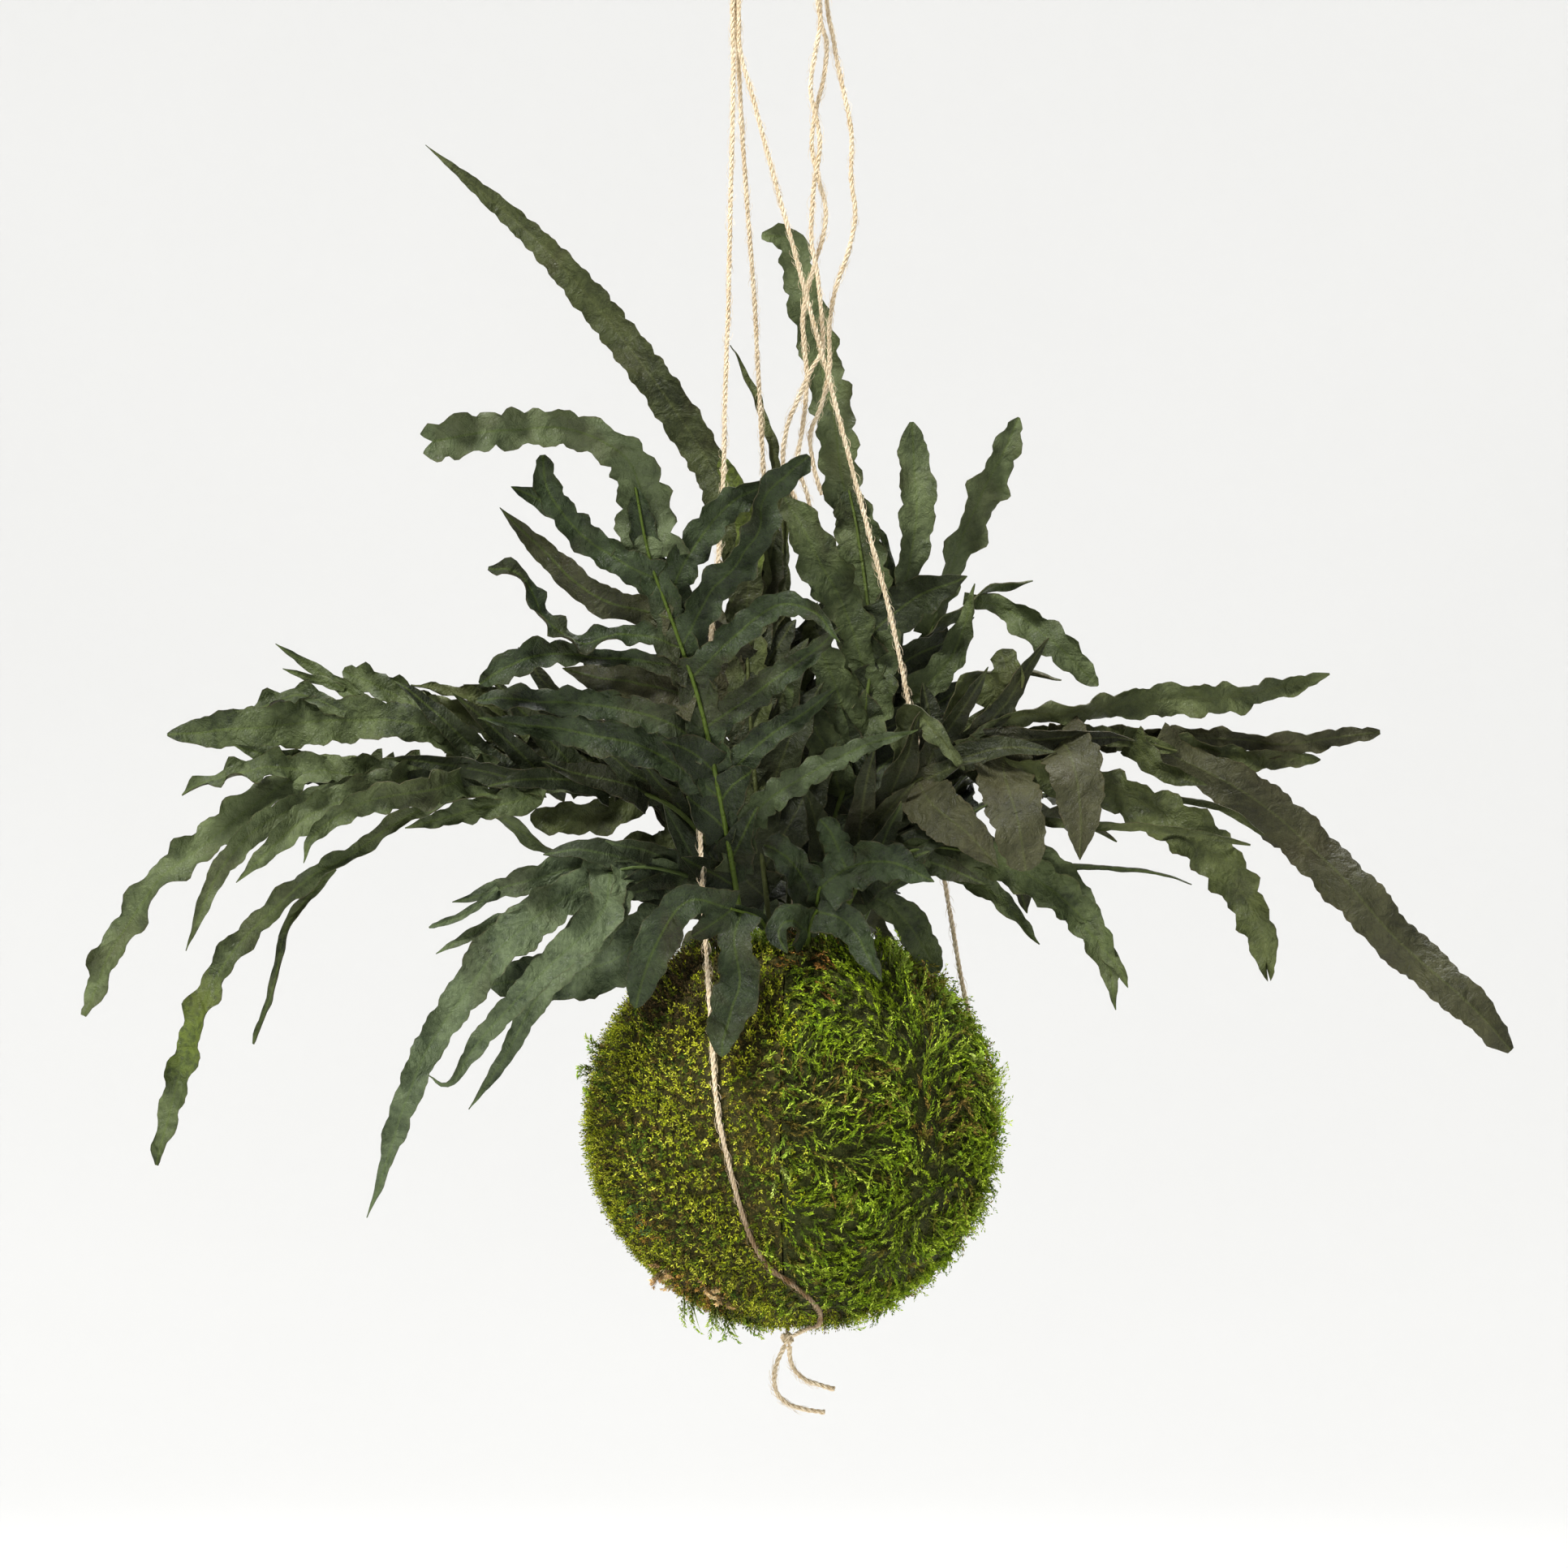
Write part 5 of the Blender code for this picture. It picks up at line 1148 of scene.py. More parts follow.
    def gather(self, lobe: Lobe, front: Array, rear: Array, along: Array, across: Array) -> None:
        """Join a front and a rear skin round their border and hand them on with their values.

        Args:
            lobe: the blade's looks.
            front: the points of the front skin, row by row.
            rear: those of the rear skin.
            along: each row's distance along the blade.
            across: each point's distance from the midrib.
        """
        rows, columns = across.shape
        count = rows * columns
        faces = grid_faces(rows, columns)
        number = np.arange(count).reshape(rows, columns)
        border = np.concatenate([number[0], number[1:, -1], number[-1, -2::-1], number[-2:0:-1, 0]])
        after = np.roll(border, -1)
        rim = np.stack([border, border + count, after + count, after], axis=1)
        blade = np.stack([np.broadcast_to(along[:, None], across.shape), across,
                          np.broadcast_to(self.edges, across.shape)], axis=-1).reshape(-1, 3)
        share = along / along[-1]
        glow = np.zeros(rows)
        if lobe.glow:
            first, last = lobe.glow
            glow = ease((share - first) / self.glow_blur) * ease((last - share) / self.glow_blur + 1)
        tone = np.stack([np.full(rows, lobe.pale), glow, np.full(rows, self.lobe_rib)], axis=1)
        tone = np.repeat(tone, columns, axis=0)
        under = lobe.face.value
        skin = np.concatenate([np.full(count, under), np.full(count, 1 - under)])
        self.target.add(np.concatenate([front.reshape(-1, 3), rear.reshape(-1, 3)]),
                        np.concatenate([faces, faces[:, ::-1] + count, rim]),
                        blade=np.tile(blade, (2, 1)), tone=np.tile(tone, (2, 1)), skin=skin)


@dataclass(frozen=True)
class FrondBuilder:
    """Builds the fronds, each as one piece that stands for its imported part."""

    neck_height: float = 62.0
    root_height: float = 46.0
    stem_step: float = 4.0
    stem_sides: int = 8
    stem_radius: float = 1.15
    tip_share: float = 0.4
    stem_lift: float = 0.7  # how far the stem stands out of the blades on its front
    wing_habit: Habit = Habit(wave=9, depth=0.25, ruffle=0.3, fold=0.25, swing=0.0, crease=0.5, roll=4)
    small_step: float = 3.0
    small_painted_shade: float = -0.7  # painted shade: the small lobes deep in the crown are darker than the rest
    small_size: Pair = (0.75, 1.2)
    small_breadth: Pair = (0.8, 1.15)
    small_sink: Pair = (-0.3, 0.02)
    small_parts: tuple[float, ...] = (0, 0.3, 0.65, 1)  # where their routes have points
    small_under: float = 0.15  # the share of them that show their underside
    small_lean: float = 38.0  # degrees that their tips lean at most
    small_base_lean: float = 0.4  # the share of it at their base
    wing_breadth: float = 1.3  # a living wing against its packed one
    seed: int = 11

    def build(self, frond: Frond, number: int) -> Piece:
        """Return one frond.

        Args:
            frond: its row of the table.
            number: its place in the table, which seeds its chance.

        Returns:
            The frond's piece.
        """
        shape = MeshData()
        chance = np.random.default_rng(self.seed + number)
        maker = BladeMaker(shape, np.array(frond.facing), chance)
        neck = (*frond.socket, self.neck_height)
        stem = smooth_route((neck, *frond.stem), self.stem_step)
        length = running_length(stem)
        rooted = np.vstack([[(*frond.socket, self.root_height)], stem + self.stem_lift * maker.facing])
        radii = self.stem_radius * np.linspace(1, self.tip_share, len(rooted))
        flat = np.zeros((len(rooted), 3))
        add_tube(shape, rooted, radii, self.stem_sides, blade=flat,
                 tone=flat + (0, 0, 1), skin=np.zeros(len(rooted)))

        start, end, width = frond.wing
        count = max(LEAST_PLACES, round(length[-1] * (end - start) / maker.row_step))
        wing = at_distances(stem, np.linspace(start, end, count) * length[-1])
        wing_lobe = Lobe(None, (), width * self.wing_breadth, self.wing_habit, STRAP)
        maker.add(wing_lobe, wing, False)
        for lobe in frond.lobes:
            points = lobe.points
            if lobe.start is not None:
                first = at_distances(stem, np.array([lobe.start * length[-1]]))[0]
                points = (tuple(first), *points)
            maker.add(lobe, smooth_route(points, maker.row_step), lobe.start is not None)
        if frond.filling:
            self.fill(maker, frond.filling, stem)
        piece = shape.piece(frond.name + "_blades", frond.finish.material(), frond.finish.slot)
        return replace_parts(piece, frond.name)

    def fill(self, maker: BladeMaker, filling: Filling, stem: Array) -> None:
        """Add the small lobes low on the stem, left and right by turns.

        Args:
            maker: what adds the blades.
            filling: where they grow and how large they are.
            stem: the stem's points.
        """
        chance = maker.chance
        length = running_length(stem)
        ahead = unit(np.gradient(stem, axis=0))
        for i in range(filling.count):
            share = filling.start + (filling.end - filling.start) * (i + 0.5) / filling.count
            spot = at_distances(stem, np.array([share * length[-1]]))[0]
            forward = at_distances(ahead, np.array([share * running_length(ahead)[-1]]))[0]
            aside = np.cross(forward, maker.facing)
            aside = aside / np.linalg.norm(aside) * (1 if i % 2 else -1)
            tilt = math.radians(chance.uniform(-filling.depth, filling.depth))
            opening = math.radians(chance.uniform(*filling.opening))
            way = between(forward, between(aside, maker.facing, tilt), opening)
            size = filling.length * chance.uniform(*self.small_size)
            sink = np.array([0.0, 0.0, chance.uniform(*self.small_sink) * size])
            points = tuple(tuple(spot + way * size * part + sink * part ** 2) for part in self.small_parts)
            face = UNDER if chance.random() < self.small_under else UPPER
            lean = chance.uniform(-self.small_lean, self.small_lean)
            width = filling.width * chance.uniform(*self.small_breadth)
            # painted shade: these small lobes take a pale value below zero, which darkens them
            lobe = Lobe(share, points, width, CALM, turn=(lean * self.small_base_lean, lean), face=face,
                        pale=self.small_painted_shade)
            maker.add(lobe, smooth_route(points, self.small_step), True)


# ---------------- the twine

class FarEnd(Enum):
    """How a length of twine ends, in the words that the frame knows."""

    KNOT = "knot"
    BARE = "bare"


class Lay(Enum):
    """How a length of twine lies, in the words that the frame knows."""

    TAUT = "taut"
    HANGING = "hanging"


@dataclass(frozen=True)
class Twine:
    """One length of jute twine along a route, given from its upper end to its lower one."""

    name: str
    radius: float
    route: tuple[Point, ...]
    far_end: FarEnd = FarEnd.BARE
    lay: Lay = Lay.HANGING
    leaves_low: bool = False  # whether it leaves its knot at the route's lower end
    fringe: float = 1.2  # loose fibres to a millimetre
    loft: float = 1.0  # how much thicker it looks than when it is pulled tight
    tips: float = 0.7  # how thick its two ends are


TAUT_STRINGS = (
    Twine("string_front", 0.9, (
        (-21.1, -1, 442.7), (-21.1, -1, 420), (-21.1, -1, 395), (-20.8, -1.8, 380), (-21, -4, 362),
        (-21.5, -8, 340), (-22, -12, 316), (-22.5, -17, 290), (-23.5, -22, 262), (-24, -27, 234),
        (-25.5, -32, 206), (-28, -37, 178), (-31, -42, 150), (-32, -48, 116), (-31, -54, 84),
        (-29, -60, 54), (-27.5, -64.5, 30), (-25.5, -68.5, 8), (-22, -69.7, -8), (-18.5, -67.4, -22),
        (-14, -62.5, -36), (-8, -57, -46), (1, -50.5, -53.5), (9, -38.5, -62), (10, -23, -69.3),
        (6, -13.5, -72), (0.4, -6.3, -75.5)),
        FarEnd.KNOT, Lay.TAUT, leaves_low=True),
    Twine("string_back", 0.9, (
        (-20, 1.1, 442.7), (-20, 1.1, 420), (-19.8, 1.2, 395), (-19, 2, 382), (-17.5, 5, 354),
        (-15.5, 9, 326), (-13.5, 13.5, 300), (-12, 18, 272), (-10.5, 22.5, 244), (-9, 28, 214),
        (-7.5, 33, 184), (-5, 39, 150), (-2.5, 46, 112), (0, 53.5, 72), (2, 62.8, 39.5), (3, 71.2, 20.5),
        (3.5, 73.2, 0), (3, 70.5, -20), (2, 61, -41), (1, 46, -57.5), (0, 30, -67.2), (-0.5, 16, -71.7),
        (-1, 7, -72.6), (-1.4, -1.0, -75.5)),
        FarEnd.KNOT, Lay.TAUT, leaves_low=True),
    Twine("string_right", 0.9, (
        (-18.9, -1, 442.7), (-18.9, -1, 420), (-18.8, -1, 397), (-18.2, -1, 385), (-13, -1, 366),
        (-7.5, -1, 345), (0.5, -1.5, 316), (8, -2, 288), (15, -2.5, 262), (22, -3, 235), (29, -3.5, 208),
        (36, -4, 181), (43, -4, 148), (47.3, -3, 132), (51, -1.5, 112), (54, 0, 94), (57.5, 2, 74),
        (61.5, 4, 51), (65.8, 8, 32.5), (69.5, 14.5, 18.5), (69.8, 22, 4), (67, 27.5, -12), (60, 30, -30),
        (48, 28.5, -47.8), (33, 22, -62), (17, 12, -71), (8, 3, -72.8), (1.0, -2.2, -75.6)),
        FarEnd.KNOT, Lay.TAUT, leaves_low=True),
)
SLACK_STRINGS = (
    Twine("slack_string_left", 0.9, (
        (-14.2, -2, 445), (-7, 0, 447), (1, 2, 441), (7, 3, 425), (9.5, 3, 404), (10.5, 3, 396),
        (8.5, 3, 385), (7, 3, 372), (9.7, 3, 359), (10.2, 3, 350), (8, 3, 336), (7.3, 3, 318),
        (9.4, 3, 306), (11, 3, 290), (11.2, 3, 279), (7, 3, 271), (2, 4, 260), (-1.5, 6, 251), (-3, 9, 240),
        (-1.5, 11, 232), (2, 12, 224), (4, 12, 213))),
    Twine("slack_string_middle", 0.9, (
        (-14.1, 0.5, 448), (-6, 2.5, 450.5), (3, 6, 445), (9, 6.5, 428), (10.5, 6.5, 400), (12.8, 6.5, 389),
        (11.5, 6.5, 376), (8.8, 6.5, 365), (7.4, 6.5, 353), (9.2, 6.5, 343), (12.4, 6.5, 330),
        (11.5, 6.5, 320), (8.5, 6.5, 310), (5, 6.5, 297), (4.2, 6.5, 286), (5.6, 7, 271), (5.2, 8, 260),
        (3.8, 9, 249), (2.4, 10, 238), (6, 11.5, 226), (8, 12, 214))),
    Twine("slack_string_right", 0.9, (
        (-14.2, 3, 451.5), (-5, 7, 455), (6, 10, 449), (12, 10, 430), (13, 10, 404), (15, 10, 393),
        (16.5, 10, 384), (19.5, 10, 370), (21.8, 10, 357), (21.7, 10, 341), (23.2, 10, 328),
        (20.7, 10, 315), (16, 10, 301), (13.8, 10, 287), (13.8, 10, 272), (10.8, 10.5, 259), (7, 11.5, 249),
        (8, 13, 238), (11, 14, 227))),
)
HANGING_LOOP = Twine("hanging_loop", 1.3, (
    (-21.8, 0, 455.4), (-21.8, 0, 458), (-23, 0, 461), (-28, 0, 471), (-28.5, 0, 482), (-25.5, 0, 488.5),
    (-20, 0, 491.3), (-14.5, 0, 488.5), (-11.5, 0, 482), (-12, 0, 471), (-17, 0, 461), (-18.2, 0, 458),
    (-18.2, 0, 455.4)), FarEnd.KNOT, fringe=0.8)
LONG_TAIL = Twine("string_tail_long", 0.6, (
    (-2.4, -4, -79.4), (-4.6, -4.5, -84), (-6, -5, -89), (-5.6, -5, -95), (-2, -5, -99.5), (4, -5, -101.8),
    (12, -5, -103)), fringe=1.6, loft=1.5, tips=1.2)
SHORT_TAIL = Twine("string_tail_short", 0.6, (
    (-0.6, -4, -79.4), (-0.4, -3.5, -84), (1.6, -3, -88.6), (5.4, -3, -91.8), (10, -3, -93.4),
    (15.5, -3, -95)), fringe=1.6, loft=1.5, tips=1.2)


@dataclass(frozen=True)
class Knot:
    """A knot: a closed, threefold loop of twine drawn tight, around the strands that pass it."""

    node: str
    middle: Point
    reach: float  # from its middle to its widest place
    height: float
    radius: float  # of the strand that it is tied in
    core: tuple[tuple[Point, ...], ...] = ()


TOP_KNOT = Knot("top_knot", (-20, 0, 449), 5.6, 11.5, 1.35, (
    ((-21.8, 0, 456.5), (-21.6, -0.6, 449), (-21.1, -1, 441.5)),
    ((-18.2, 0, 456.5), (-18.6, -0.6, 449), (-18.9, -1, 441.5)),
    ((-20, 1.2, 455), (-20, 1.6, 449), (-20, 1.1, 441.5))))
BOTTOM_KNOT = Knot("bottom_knot", (-1.5, -4, -76.6), 2.7, 4.6, 0.8, (
    ((-0.2, -5, -74.8), (-1.5, -4.2, -76.6), (-2.4, -4, -79.6)),
    ((-1.6, -2.4, -74.8), (-1.3, -3.8, -76.6), (-0.6, -4, -79.6))))


@dataclass
class TwineMaker:
    """Lays three twisted plies along routes, with loose fibres that stand off them."""

    plies: int = 3
    ply_shift: float = 2.5
    ply_share: float = 0.47  # a ply's radius, as a share of the twine's
    offset_share: float = 0.57  # from the twine's middle to a ply's
    pitch: float = 7.0  # millimetres to a full turn, for the thickness of the strings
    step: float = 1.2
    sides: int = 5
    string_radius: float = 0.9
    pitch_growth: float = 0.7  # how far a thicker twine's turns lengthen
    uneven: float = 0.07
    uneven_lengths: Pair = (5.3, 2.1)  # millimetres to a radian of its two waves
    tip_length: float = 3.0
    tip_share: float = 0.7  # how thick a strand's ends are
    stain_top: float = 25.0  # height where the damp starts to darken the twine
    stain_length: float = 75.0
    stain_end: float = -76.0  # under the ball the twine hangs clear and dry again
    stain_radius: float = 82.0
    stain_blurs: Pair = (6.0, 8.0)
    fibre_steps: int = 4
    fibre_radius: float = 0.09
    fibre_margin: int = 7  # steps at a strand's ends where no fibre starts
    fibre_length: Pair = (1.8, 4.8)
    fibre_rise: Pair = (0.3, 1.25)
    fibre_curl: float = 0.8
    fibre_foot: float = 0.85  # where one starts, as a share of the strand's radius
    fibre_arch: float = 2.2
    fibre_taper: float = 0.6
    fibre_sides: int = 3
    knot_tightness: float = 0.8  # the size of a knot's steps and inner strands
    knot_fringe: float = 0.8
    knot_points: int = 90
    seed: int = 5

    def __post_init__(self) -> None:
        """Seed the chance that the fibres follow."""
        self.chance = np.random.default_rng(self.seed)
        self.material = JUTE.material()

    def stain(self, points: Array) -> Array:
        """Work out how damp and dark the twine is.

        Args:
            points: places on it, from the ball's centre.

        Returns:
            A share from 0 to 1 at each point.
        """
        low = ease((self.stain_top - points[:, 2]) / self.stain_length)
        out_blur, down_blur = self.stain_blurs
        near = ease((self.stain_radius - np.linalg.norm(points, axis=1)) / out_blur)
        return low * near * ease((points[:, 2] - self.stain_end) / down_blur)

    def strand(self, target: MeshData, route: Array, radius: float, tips: float = tip_share) -> None:
        """Add the plies of one strand.

        Args:
            target: the mesh that gathers them.
            route: evenly spaced points along the strand's middle.
            radius: the strand's radius.
            tips: the share of the radius left at the strand's two ends.
        """
        _, first, second = cross_frames(route)
        along = running_length(route)
        pitch = self.pitch * (radius / self.string_radius) ** self.pitch_growth
        stain = self.stain(route)
        slow, quick = self.uneven_lengths
        swell = 1 + self.uneven * np.sin(along / slow + self.chance.uniform(0, 6)) * np.sin(along / quick)
        full = ease(along / self.tip_length) * ease((along[-1] - along) / self.tip_length)
        swell = swell * (tips + (1 - tips) * full)
        for ply in range(self.plies):
            angle = 2 * math.pi * (along / pitch + ply / self.plies)
            middle = route + between(first, second, angle) * (radius * self.offset_share * swell)[:, None]
            lay = np.stack([along, np.full(len(along), ply * self.ply_shift), stain], axis=1)
            add_tube(target, middle, radius * self.ply_share * swell, self.sides, lay=lay)

    def fibres(self, target: MeshData, route: Array, radius: float, per_millimetre: float) -> None:
        """Add loose fibres that lift off a strand and curl back along it.

        Args:
            target: the mesh that gathers them.
            route: evenly spaced points along the strand's middle.
            radius: the strand's radius.
            per_millimetre: how many there are.
        """
        ahead, first, second = cross_frames(route)
        along = running_length(route)
        for _ in range(round(along[-1] * per_millimetre)):
            start = self.chance.integers(self.fibre_margin, len(route) - self.fibre_margin)
            out = between(first[start], second[start], self.chance.uniform(0, 2 * math.pi))
            round_it = np.cross(ahead[start], out)
            length = self.chance.uniform(*self.fibre_length) * self.chance.choice((-1, 1))
            rise = self.chance.uniform(*self.fibre_rise)
            curl = self.chance.uniform(-self.fibre_curl, self.fibre_curl)
            share = np.linspace(0, 1, self.fibre_steps)[:, None]
            line = (route[start] + out * (radius * self.fibre_foot + rise * np.sin(share * self.fibre_arch))
                    + ahead[start] * length * share + round_it * curl * share ** 2)
            radii = self.fibre_radius * (1 - self.fibre_taper * share[:, 0])
            stain = self.stain(route[start:start + 1])[0]
            lay = np.stack([np.full(self.fibre_steps, float(start)), share[:, 0],
                            np.full(self.fibre_steps, stain)], axis=1)
            add_tube(target, line, radii, self.fibre_sides, lay=lay)

    def lay(self, twine: Twine) -> Piece:
        """Lay a length of twine.

        Args:
            twine: its route, thickness and ends.

        Returns:
            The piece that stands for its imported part.
        """
        route = smooth_route(twine.route, self.step)
        shape = MeshData()
        self.strand(shape, route, twine.radius * twine.loft, twine.tips)
        self.fibres(shape, route, twine.radius * twine.loft, twine.fringe)
        piece = shape.piece(twine.name + "_twine", self.material, JUTE.slot)
        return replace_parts(piece, twine.name)

    def tie(self, knot: Knot) -> Piece:
        """Tie a knot.

        Args:
            knot: its place and sizes.

        Returns:
            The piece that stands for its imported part.
        """
        turn = np.linspace(0, 2 * math.pi, self.knot_points)
        reach = (knot.reach - knot.radius) / 3
        loop = np.stack([reach * (np.sin(turn) + 2 * np.sin(2 * turn)),
                         reach * (np.cos(turn) - 2 * np.cos(2 * turn)),
                         -(knot.height / 2 - knot.radius) * np.sin(3 * turn)], axis=1)
        shape = MeshData()
        length = running_length(loop)[-1]
        count = round(length / (self.step * self.knot_tightness))
        even = at_distances(loop, np.linspace(0, length, count)) + knot.middle
        self.strand(shape, even, knot.radius, 1.0)
        self.fibres(shape, even, knot.radius, self.knot_fringe)
        for route in knot.core:
            self.strand(shape, smooth_route(route, self.step), knot.radius * self.knot_tightness)
        piece = shape.piece(knot.node + "_tied", self.material, JUTE.slot)
        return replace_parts(piece, knot.node)


class Hanger:
    """All the twine: three taut strings, three slack ones, their knots, the loop and the tails."""

    def build(self) -> None:
        """Lay every length of twine and tie the knots."""
        maker = TwineMaker()
        for knot in (TOP_KNOT, BOTTOM_KNOT):
            maker.tie(knot)
        short_tail = maker.lay(SHORT_TAIL)
        for twine in (*TAUT_STRINGS, *SLACK_STRINGS, HANGING_LOOP, LONG_TAIL):
            maker.lay(twine)


# ---------------- the moss

@dataclass(frozen=True)
class Growth:
    """How one kind of moss grows: its shoots and the leaflets on them, in millimetres."""

    area_each: float  # square millimetres of ball to a shoot
    length: Pair
    lean: Pair  # degrees from straight out of the ball
    leaves: int
    leaf: Pair  # length and width
    splay: float  # degrees between a leaflet and its shoot
    droop: float  # how far a shoot's tip bends back, as a share of its length
    stem: float  # a shoot's thickness at its foot


SHORT_GROWTH = Growth(3.2, (3.0, 5.4), (0.0, 50.0), 6, (1.5, 0.7), 54.0, 0.1, 0.4)
FEATHER_GROWTH = Growth(7.4, (7.0, 13.0), (34.0, 74.0), 14, (1.9, 0.78), 32.0, 0.24, 0.6)
BACK_GROWTH = Growth(10.0, (7.0, 14.0), (36.0, 76.0), 14, (2.3, 0.75), 44.0, 0.24, 0.5)
CROWN_GROWTH = Growth(3.6, (8.0, 17.0), (10.0, 60.0), 7, (1.9, 0.7), 50.0, 0.1, 0.4)
WISP_GROWTH = Growth(1.0, (8.0, 16.0), (0.0, 0.0), 20, (1.9, 0.9), 40.0, 0.45, 0.6)


@dataclass(frozen=True)
class Palette:
    """The colours that shoots are drawn from, each with its share."""

    colours: tuple[Colour, ...]
    shares: tuple[float, ...]


OLIVE_COLOURS = Palette(
    (shade(150, 158, 24), shade(100, 116, 20), shade(194, 198, 62), shade(96, 80, 32), shade(66, 90, 20)),
    (0.32, 0.26, 0.18, 0.13, 0.11))
BRIGHT_COLOURS = Palette(
    (shade(136, 160, 28), shade(104, 132, 24), shade(168, 188, 62), shade(128, 120, 44),
     shade(126, 98, 46)), (0.39, 0.3, 0.2, 0.09, 0.02))
DARK_COLOURS = Palette(
    (shade(62, 60, 34), shade(84, 72, 40), shade(52, 66, 32), shade(98, 86, 50)), (0.35, 0.25, 0.25, 0.15))


@dataclass(frozen=True)
class Spot:
    """A patch on the front of the ball where the shoots take its colour; some patches are painted shade under
    the fronds.
    """

    across: float
    height: float
    radius: float
    colour: Colour
    strength: float = 0.85


SPOTS_AND_PAINTED_SHADE = (
    # painted shade: the dark patch at (-43, 51) here and the two on the last line stand for the shade under
    # the fronds; the rest are the moss's own colours
    Spot(-43, 51, 16, shade(76, 62, 34), 0.7), Spot(-30, 27, 15, shade(196, 200, 50), 0.5),
    Spot(-49, -33, 8, shade(150, 116, 44), 0.3), Spot(-41, -57, 8, shade(166, 126, 56), 0.4),
    Spot(-30, -60, 8, shade(170, 130, 62), 0.5), Spot(10, 58, 8, shade(140, 100, 46), 0.6),
    Spot(-53, -30, 6, shade(76, 110, 60), 0.4), Spot(17, 13, 12, shade(120, 100, 46), 0.4),
    Spot(51, 6, 12, shade(126, 106, 46), 0.4), Spot(-12, 4, 15, shade(104, 92, 34), 0.4),
    # painted shade: both patches on the next line stand for the shade under the fronds
    Spot(-22, 52, 13, shade(66, 60, 30), 0.6), Spot(6, 62, 12, shade(72, 74, 30), 0.5),
)


@dataclass(frozen=True)
class Bulge:
    """A part of the ball where the coat is thicker or thinner than elsewhere."""

    way: Point
    reach: float  # how wide it is, in radians
    growth: float  # the share that it adds to the shoots' length


BULGES = (
    Bulge((-0.66, -0.2, -0.72), 0.42, -0.5), Bulge((0.62, -0.2, -0.76), 0.3, -0.3),
    Bulge((0.8, -0.2, 0.56), 0.3, 0.35), Bulge((0.97, -0.2, 0.0), 0.25, 0.25),
    Bulge((-0.97, -0.2, 0.12), 0.3, 0.2),
)


@dataclass(frozen=True)
class Region:
    """A part of the ball that one piece of moss covers, by the angles of its edges in degrees."""

    name: str
    growth: Growth
    colours: Palette
    finish: MossFinish
    turn: Pair  # round the ball, from +X towards +Y
    slope: Pair  # from straight up


REGIONS = (
    Region("moss_left_shoots", SHORT_GROWTH, OLIVE_COLOURS, OLIVE_MOSS, (145, 267), (26, 152)),
    Region("moss_right_shoots", FEATHER_GROWTH, BRIGHT_COLOURS, BRIGHT_MOSS, (267, 395), (24, 152)),
    Region("moss_back_shoots", BACK_GROWTH, OLIVE_COLOURS, OLIVE_MOSS, (35, 145), (26, 152)),
    Region("moss_base_shoots", SHORT_GROWTH, OLIVE_COLOURS, OLIVE_MOSS, (0, 360), (152, 181)),
    Region("moss_crown_shoots", CROWN_GROWTH, DARK_COLOURS, OLIVE_MOSS, (0, 360), (-1, 28)),
)


@dataclass(frozen=True)
class Wisp:
    """A few long shoots that stand out from the ball, between two points."""

    start: Point
    end: Point
    count: int
    spread: float
    dry: bool = False


WISPS = (
    Wisp((17, -28, -67), (29.5, -32, -76.5), 2, 0.8), Wisp((64.7, -26, 22), (71.6, -30, 30), 3, 1.2),
    Wisp((69.5, -20, 13.5), (77.4, -24, 17.5), 3, 1.4), Wisp((70.5, -20, 2.5), (78.4, -24, -1.4), 3, 1.2),
    Wisp((66, -22, -23), (70.4, -25, -32), 3, 1.4), Wisp((68, -20, -8), (75, -23, -12), 4, 3.0),
    Wisp((35.7, -28, 56), (41.5, -34, 76.5), 4, 2.6), Wisp((38, -28, 52), (47, -34, 64), 9, 5.0),
    Wisp((52, -26, 44), (62, -32, 52), 6, 4.0), Wisp((-69, -14, 27), (-78.5, -16, 31.4), 3, 1.4),
    Wisp((-70, -16, 21), (-79, -18, 20), 3, 1.6), Wisp((-70, -16, 10), (-77, -18, 14), 4, 3.0),
    Wisp((-34, -28, -58), (-38, -29, -75), 7, 3.6), Wisp((-27, -28, -62), (-31, -29, -79), 6, 3.0),
    Wisp((-22, -28, -64), (-23, -29, -82), 5, 2.6), Wisp((-14, -26, -67), (-11, -27, -79), 4, 3.0),
    Wisp((-43, -28, -50), (-50, -32, -57), 12, 4.0, True),
    Wisp((-26, -34, -54), (-29, -40, -61), 16, 5.0, True), Wisp((12, -40, 50), (16, -46, 44), 5, 4.0, True),
    Wisp((-12.5, -24, 59), (-13, -27, 80), 44, 6.5), Wisp((10.5, -24, 59), (10.5, -27, 77), 18, 5.0),
    Wisp((-4, -70, -6), (-5, -77, -14), 12, 9.0),
)
WISP_COLOURS = (shade(156, 182, 62), shade(130, 160, 44), shade(182, 200, 98))
DRY_COLOURS = (shade(204, 178, 130), shade(222, 202, 158), shade(180, 148, 100))


